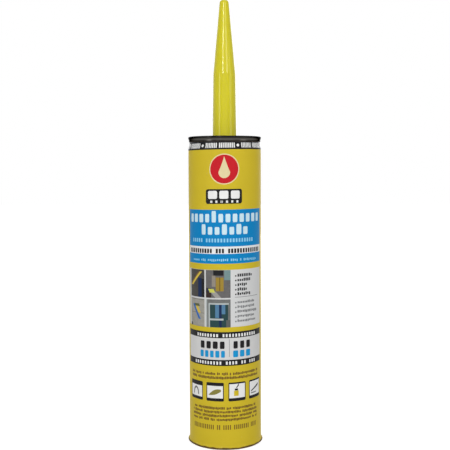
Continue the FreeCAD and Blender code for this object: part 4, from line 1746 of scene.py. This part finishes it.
@dataclass
class Studio:
    """The floor, the lamps, the world and the camera, in metres."""

    camera_place: Vector = field(default_factory=lambda: Vector((0.0, -0.574235, 0.188070)))
    pitch: float = 0.063245
    roll: float = 0.0029566
    covered_radius: float = 0.0235
    yaw: float = -0.00037
    lens: float = 66.354
    shift: float = -0.0035
    floor_half: float = 4.0
    ambient: float = 0.25
    floor_tones: tuple[float, float] = (0.80, 0.82)
    floor_glow: tuple[float, float, float, float] = (0.2, 0.9, 0.62, 0.95)
    sensor: float = 36.0
    nearest: float = 0.01

    def camera(self) -> None:
        """Puts the camera where the photograph was taken from."""
        data = bpy.data.cameras.new("camera")
        data.lens = self.lens
        data.sensor_width = self.sensor
        data.sensor_fit = "HORIZONTAL"
        data.shift_y = self.shift
        data.clip_start = self.nearest
        item = bpy.data.objects.new("camera", data)
        item.location = self.camera_place
        item.rotation_mode = "XYZ"
        item.rotation_euler = (math.pi / 2.0 - self.pitch, self.roll, self.yaw)
        bpy.context.scene.collection.objects.link(item)
        bpy.context.scene.camera = item

    def lamp(self, name: str, place: Spot, aim: Spot, width: float, height: float, power: float) -> None:
        """Adds one soft area lamp.

        Args:
            name: The lamp's name.
            place: Where it stands.
            aim: The point that it faces.
            width: Its width.
            height: Its height.
            power: Its power in watts.
        """
        data = bpy.data.lights.new(name, "AREA")
        data.shape = "RECTANGLE"
        data.size, data.size_y = width, height
        data.energy = power
        item = bpy.data.objects.new(name, data)
        item.location = place
        item.rotation_euler = (Vector(aim) - Vector(place)).to_track_quat("-Z", "Y").to_euler()
        bpy.context.scene.collection.objects.link(item)

    def lamps(self) -> None:
        """Adds the lamps."""
        lamps = (
            ("front", (0.1, -1.7, 0.5), 0.12, 2.0, 1.4, 5.2),
            ("strip", (-0.42, -1.42, 0.88), 0.27, 0.13, 0.5, 8.0),
            ("soft", (0.72, -1.32, 0.88), 0.27, 0.5, 0.5, 4.4),
            ("left", (-1.15, -0.95, 0.35), 0.1, 0.4, 0.6, 3.2),
            ("right", (1.3, -0.7, 0.4), 0.1, 0.5, 0.7, 2.6),
            ("top", (0.0, 0.1, 1.5), 0.1, 1.1, 1.1, 3.4),
            ("rear", (0.3, 1.7, 0.6), 0.12, 1.8, 1.2, 13.0),
            ("below", (0.0, 0.3, -1.2), 0.05, 0.7, 0.7, 6.0),
        )
        for name, place, up, width, height, power in lamps:
            self.lamp(name, place, (0.0, 0.0, up), width, height, power)

    def floor(self) -> None:
        """Lays the pale floor, which keeps the object's shadow.

        It is clear when seen from below, and under the tube, so that light reaches the plunger.
        """
        half = self.floor_half
        mesh = bpy.data.meshes.new("floor")
        corners = [(x * half, y * half, 0.0) for x, y in ((-1, -1), (1, -1), (1, 1), (-1, 1))]
        mesh.from_pydata(corners, [], [(0, 1, 2, 3)])
        item = bpy.data.objects.new("floor", mesh)
        bpy.context.scene.collection.objects.link(item)
        shader = Shader("floor_sheet")
        place = shader.add("ShaderNodeTexCoord").outputs["Object"]
        tone = shader.noise(place, 3.0)
        dark, light = self.floor_tones
        colour = shader.mix(tone, opaque((dark, dark, dark)), opaque((light, light, light)))
        matte = shader.add("ShaderNodeBsdfDiffuse", {"Color": colour})
        away = shader.add("ShaderNodeVectorMath", {0: place}, operation="LENGTH").outputs["Value"]
        glow = shader.fit(away, *self.floor_glow)
        lift = shader.add("ShaderNodeEmission", {"Color": WHITE, "Strength": glow})
        both = shader.add("ShaderNodeAddShader", {0: matte.outputs[0], 1: lift.outputs[0]})
        chosen = shader.add("ShaderNodeMixShader", {0: shader.seen(), 1: matte.outputs[0], 2: both.outputs[0]})
        covered = shader.math("LESS_THAN", away, self.covered_radius)
        beneath = shader.math("MAXIMUM", shader.add("ShaderNodeNewGeometry").outputs["Backfacing"], covered)
        clear = shader.add("ShaderNodeBsdfTransparent")
        whole = shader.add("ShaderNodeMixShader", {0: beneath, 1: chosen.outputs[0], 2: clear.outputs[0]})
        shader.ended("ShaderNodeOutputMaterial", whole)
        mesh.materials.append(shader.material)

    def world(self) -> None:
        """Gives a white background and a plain level of light."""
        world = bpy.data.worlds.new("studio")
        world.use_nodes = True
        world.node_tree.nodes.clear()
        bpy.context.scene.world = world
        graph = Graph(world.node_tree)
        passed = graph.add("ShaderNodeLightPath").outputs["Is Transmission Ray"]
        shown = graph.math("MAXIMUM", graph.seen(), passed)
        ambient = graph.add("ShaderNodeBackground", {"Color": WHITE, "Strength": self.ambient})
        white = graph.add("ShaderNodeBackground", {"Color": WHITE, "Strength": 1.0})
        chosen = graph.add("ShaderNodeMixShader", {0: shown, 1: ambient.outputs[0], 2: white.outputs[0]})
        graph.ended("ShaderNodeOutputWorld", chosen)

    def build(self) -> None:
        """Sets up the whole studio."""
        self.camera()
        self.lamps()
        self.floor()
        self.world()
        bpy.context.scene.view_settings.view_transform = "Standard"


def dress_nodes(effects: Effects) -> None:
    """Gives the CAD nodes that stay their materials."""
    finishes = {
        "plunger": MouldedPolyethylene("plunger_polyethylene", (0.74, 0.74, 0.70), roughness=0.36, glow=0.15),
        "nozzle_seal": SealingFoil(),
    }
    for node, finish in finishes.items():
        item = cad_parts[node]
        material = finish.material(effects)
        if not item.material_slots:
            item.data.materials.append(material)
        for slot in item.material_slots:
            slot.material = material
        LOG.info("%s: kept with %s", node, material.name)


def main() -> None:
    """Builds the studio and every piece."""
    logging.basicConfig(level=logging.INFO, format="%(name)s: %(message)s")
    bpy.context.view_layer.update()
    Studio().build()
    effects = Effects()
    shop = Workshop()
    label = Label()
    paper = Cartridge().build(shop, effects, label.tilt)
    Nozzle().build(shop, effects)
    Sealant().build(shop, effects)
    label.build(shop, effects, paper)
    dress_nodes(effects)
    bpy.context.view_layer.update()


if __name__ == "__main__":
    main()
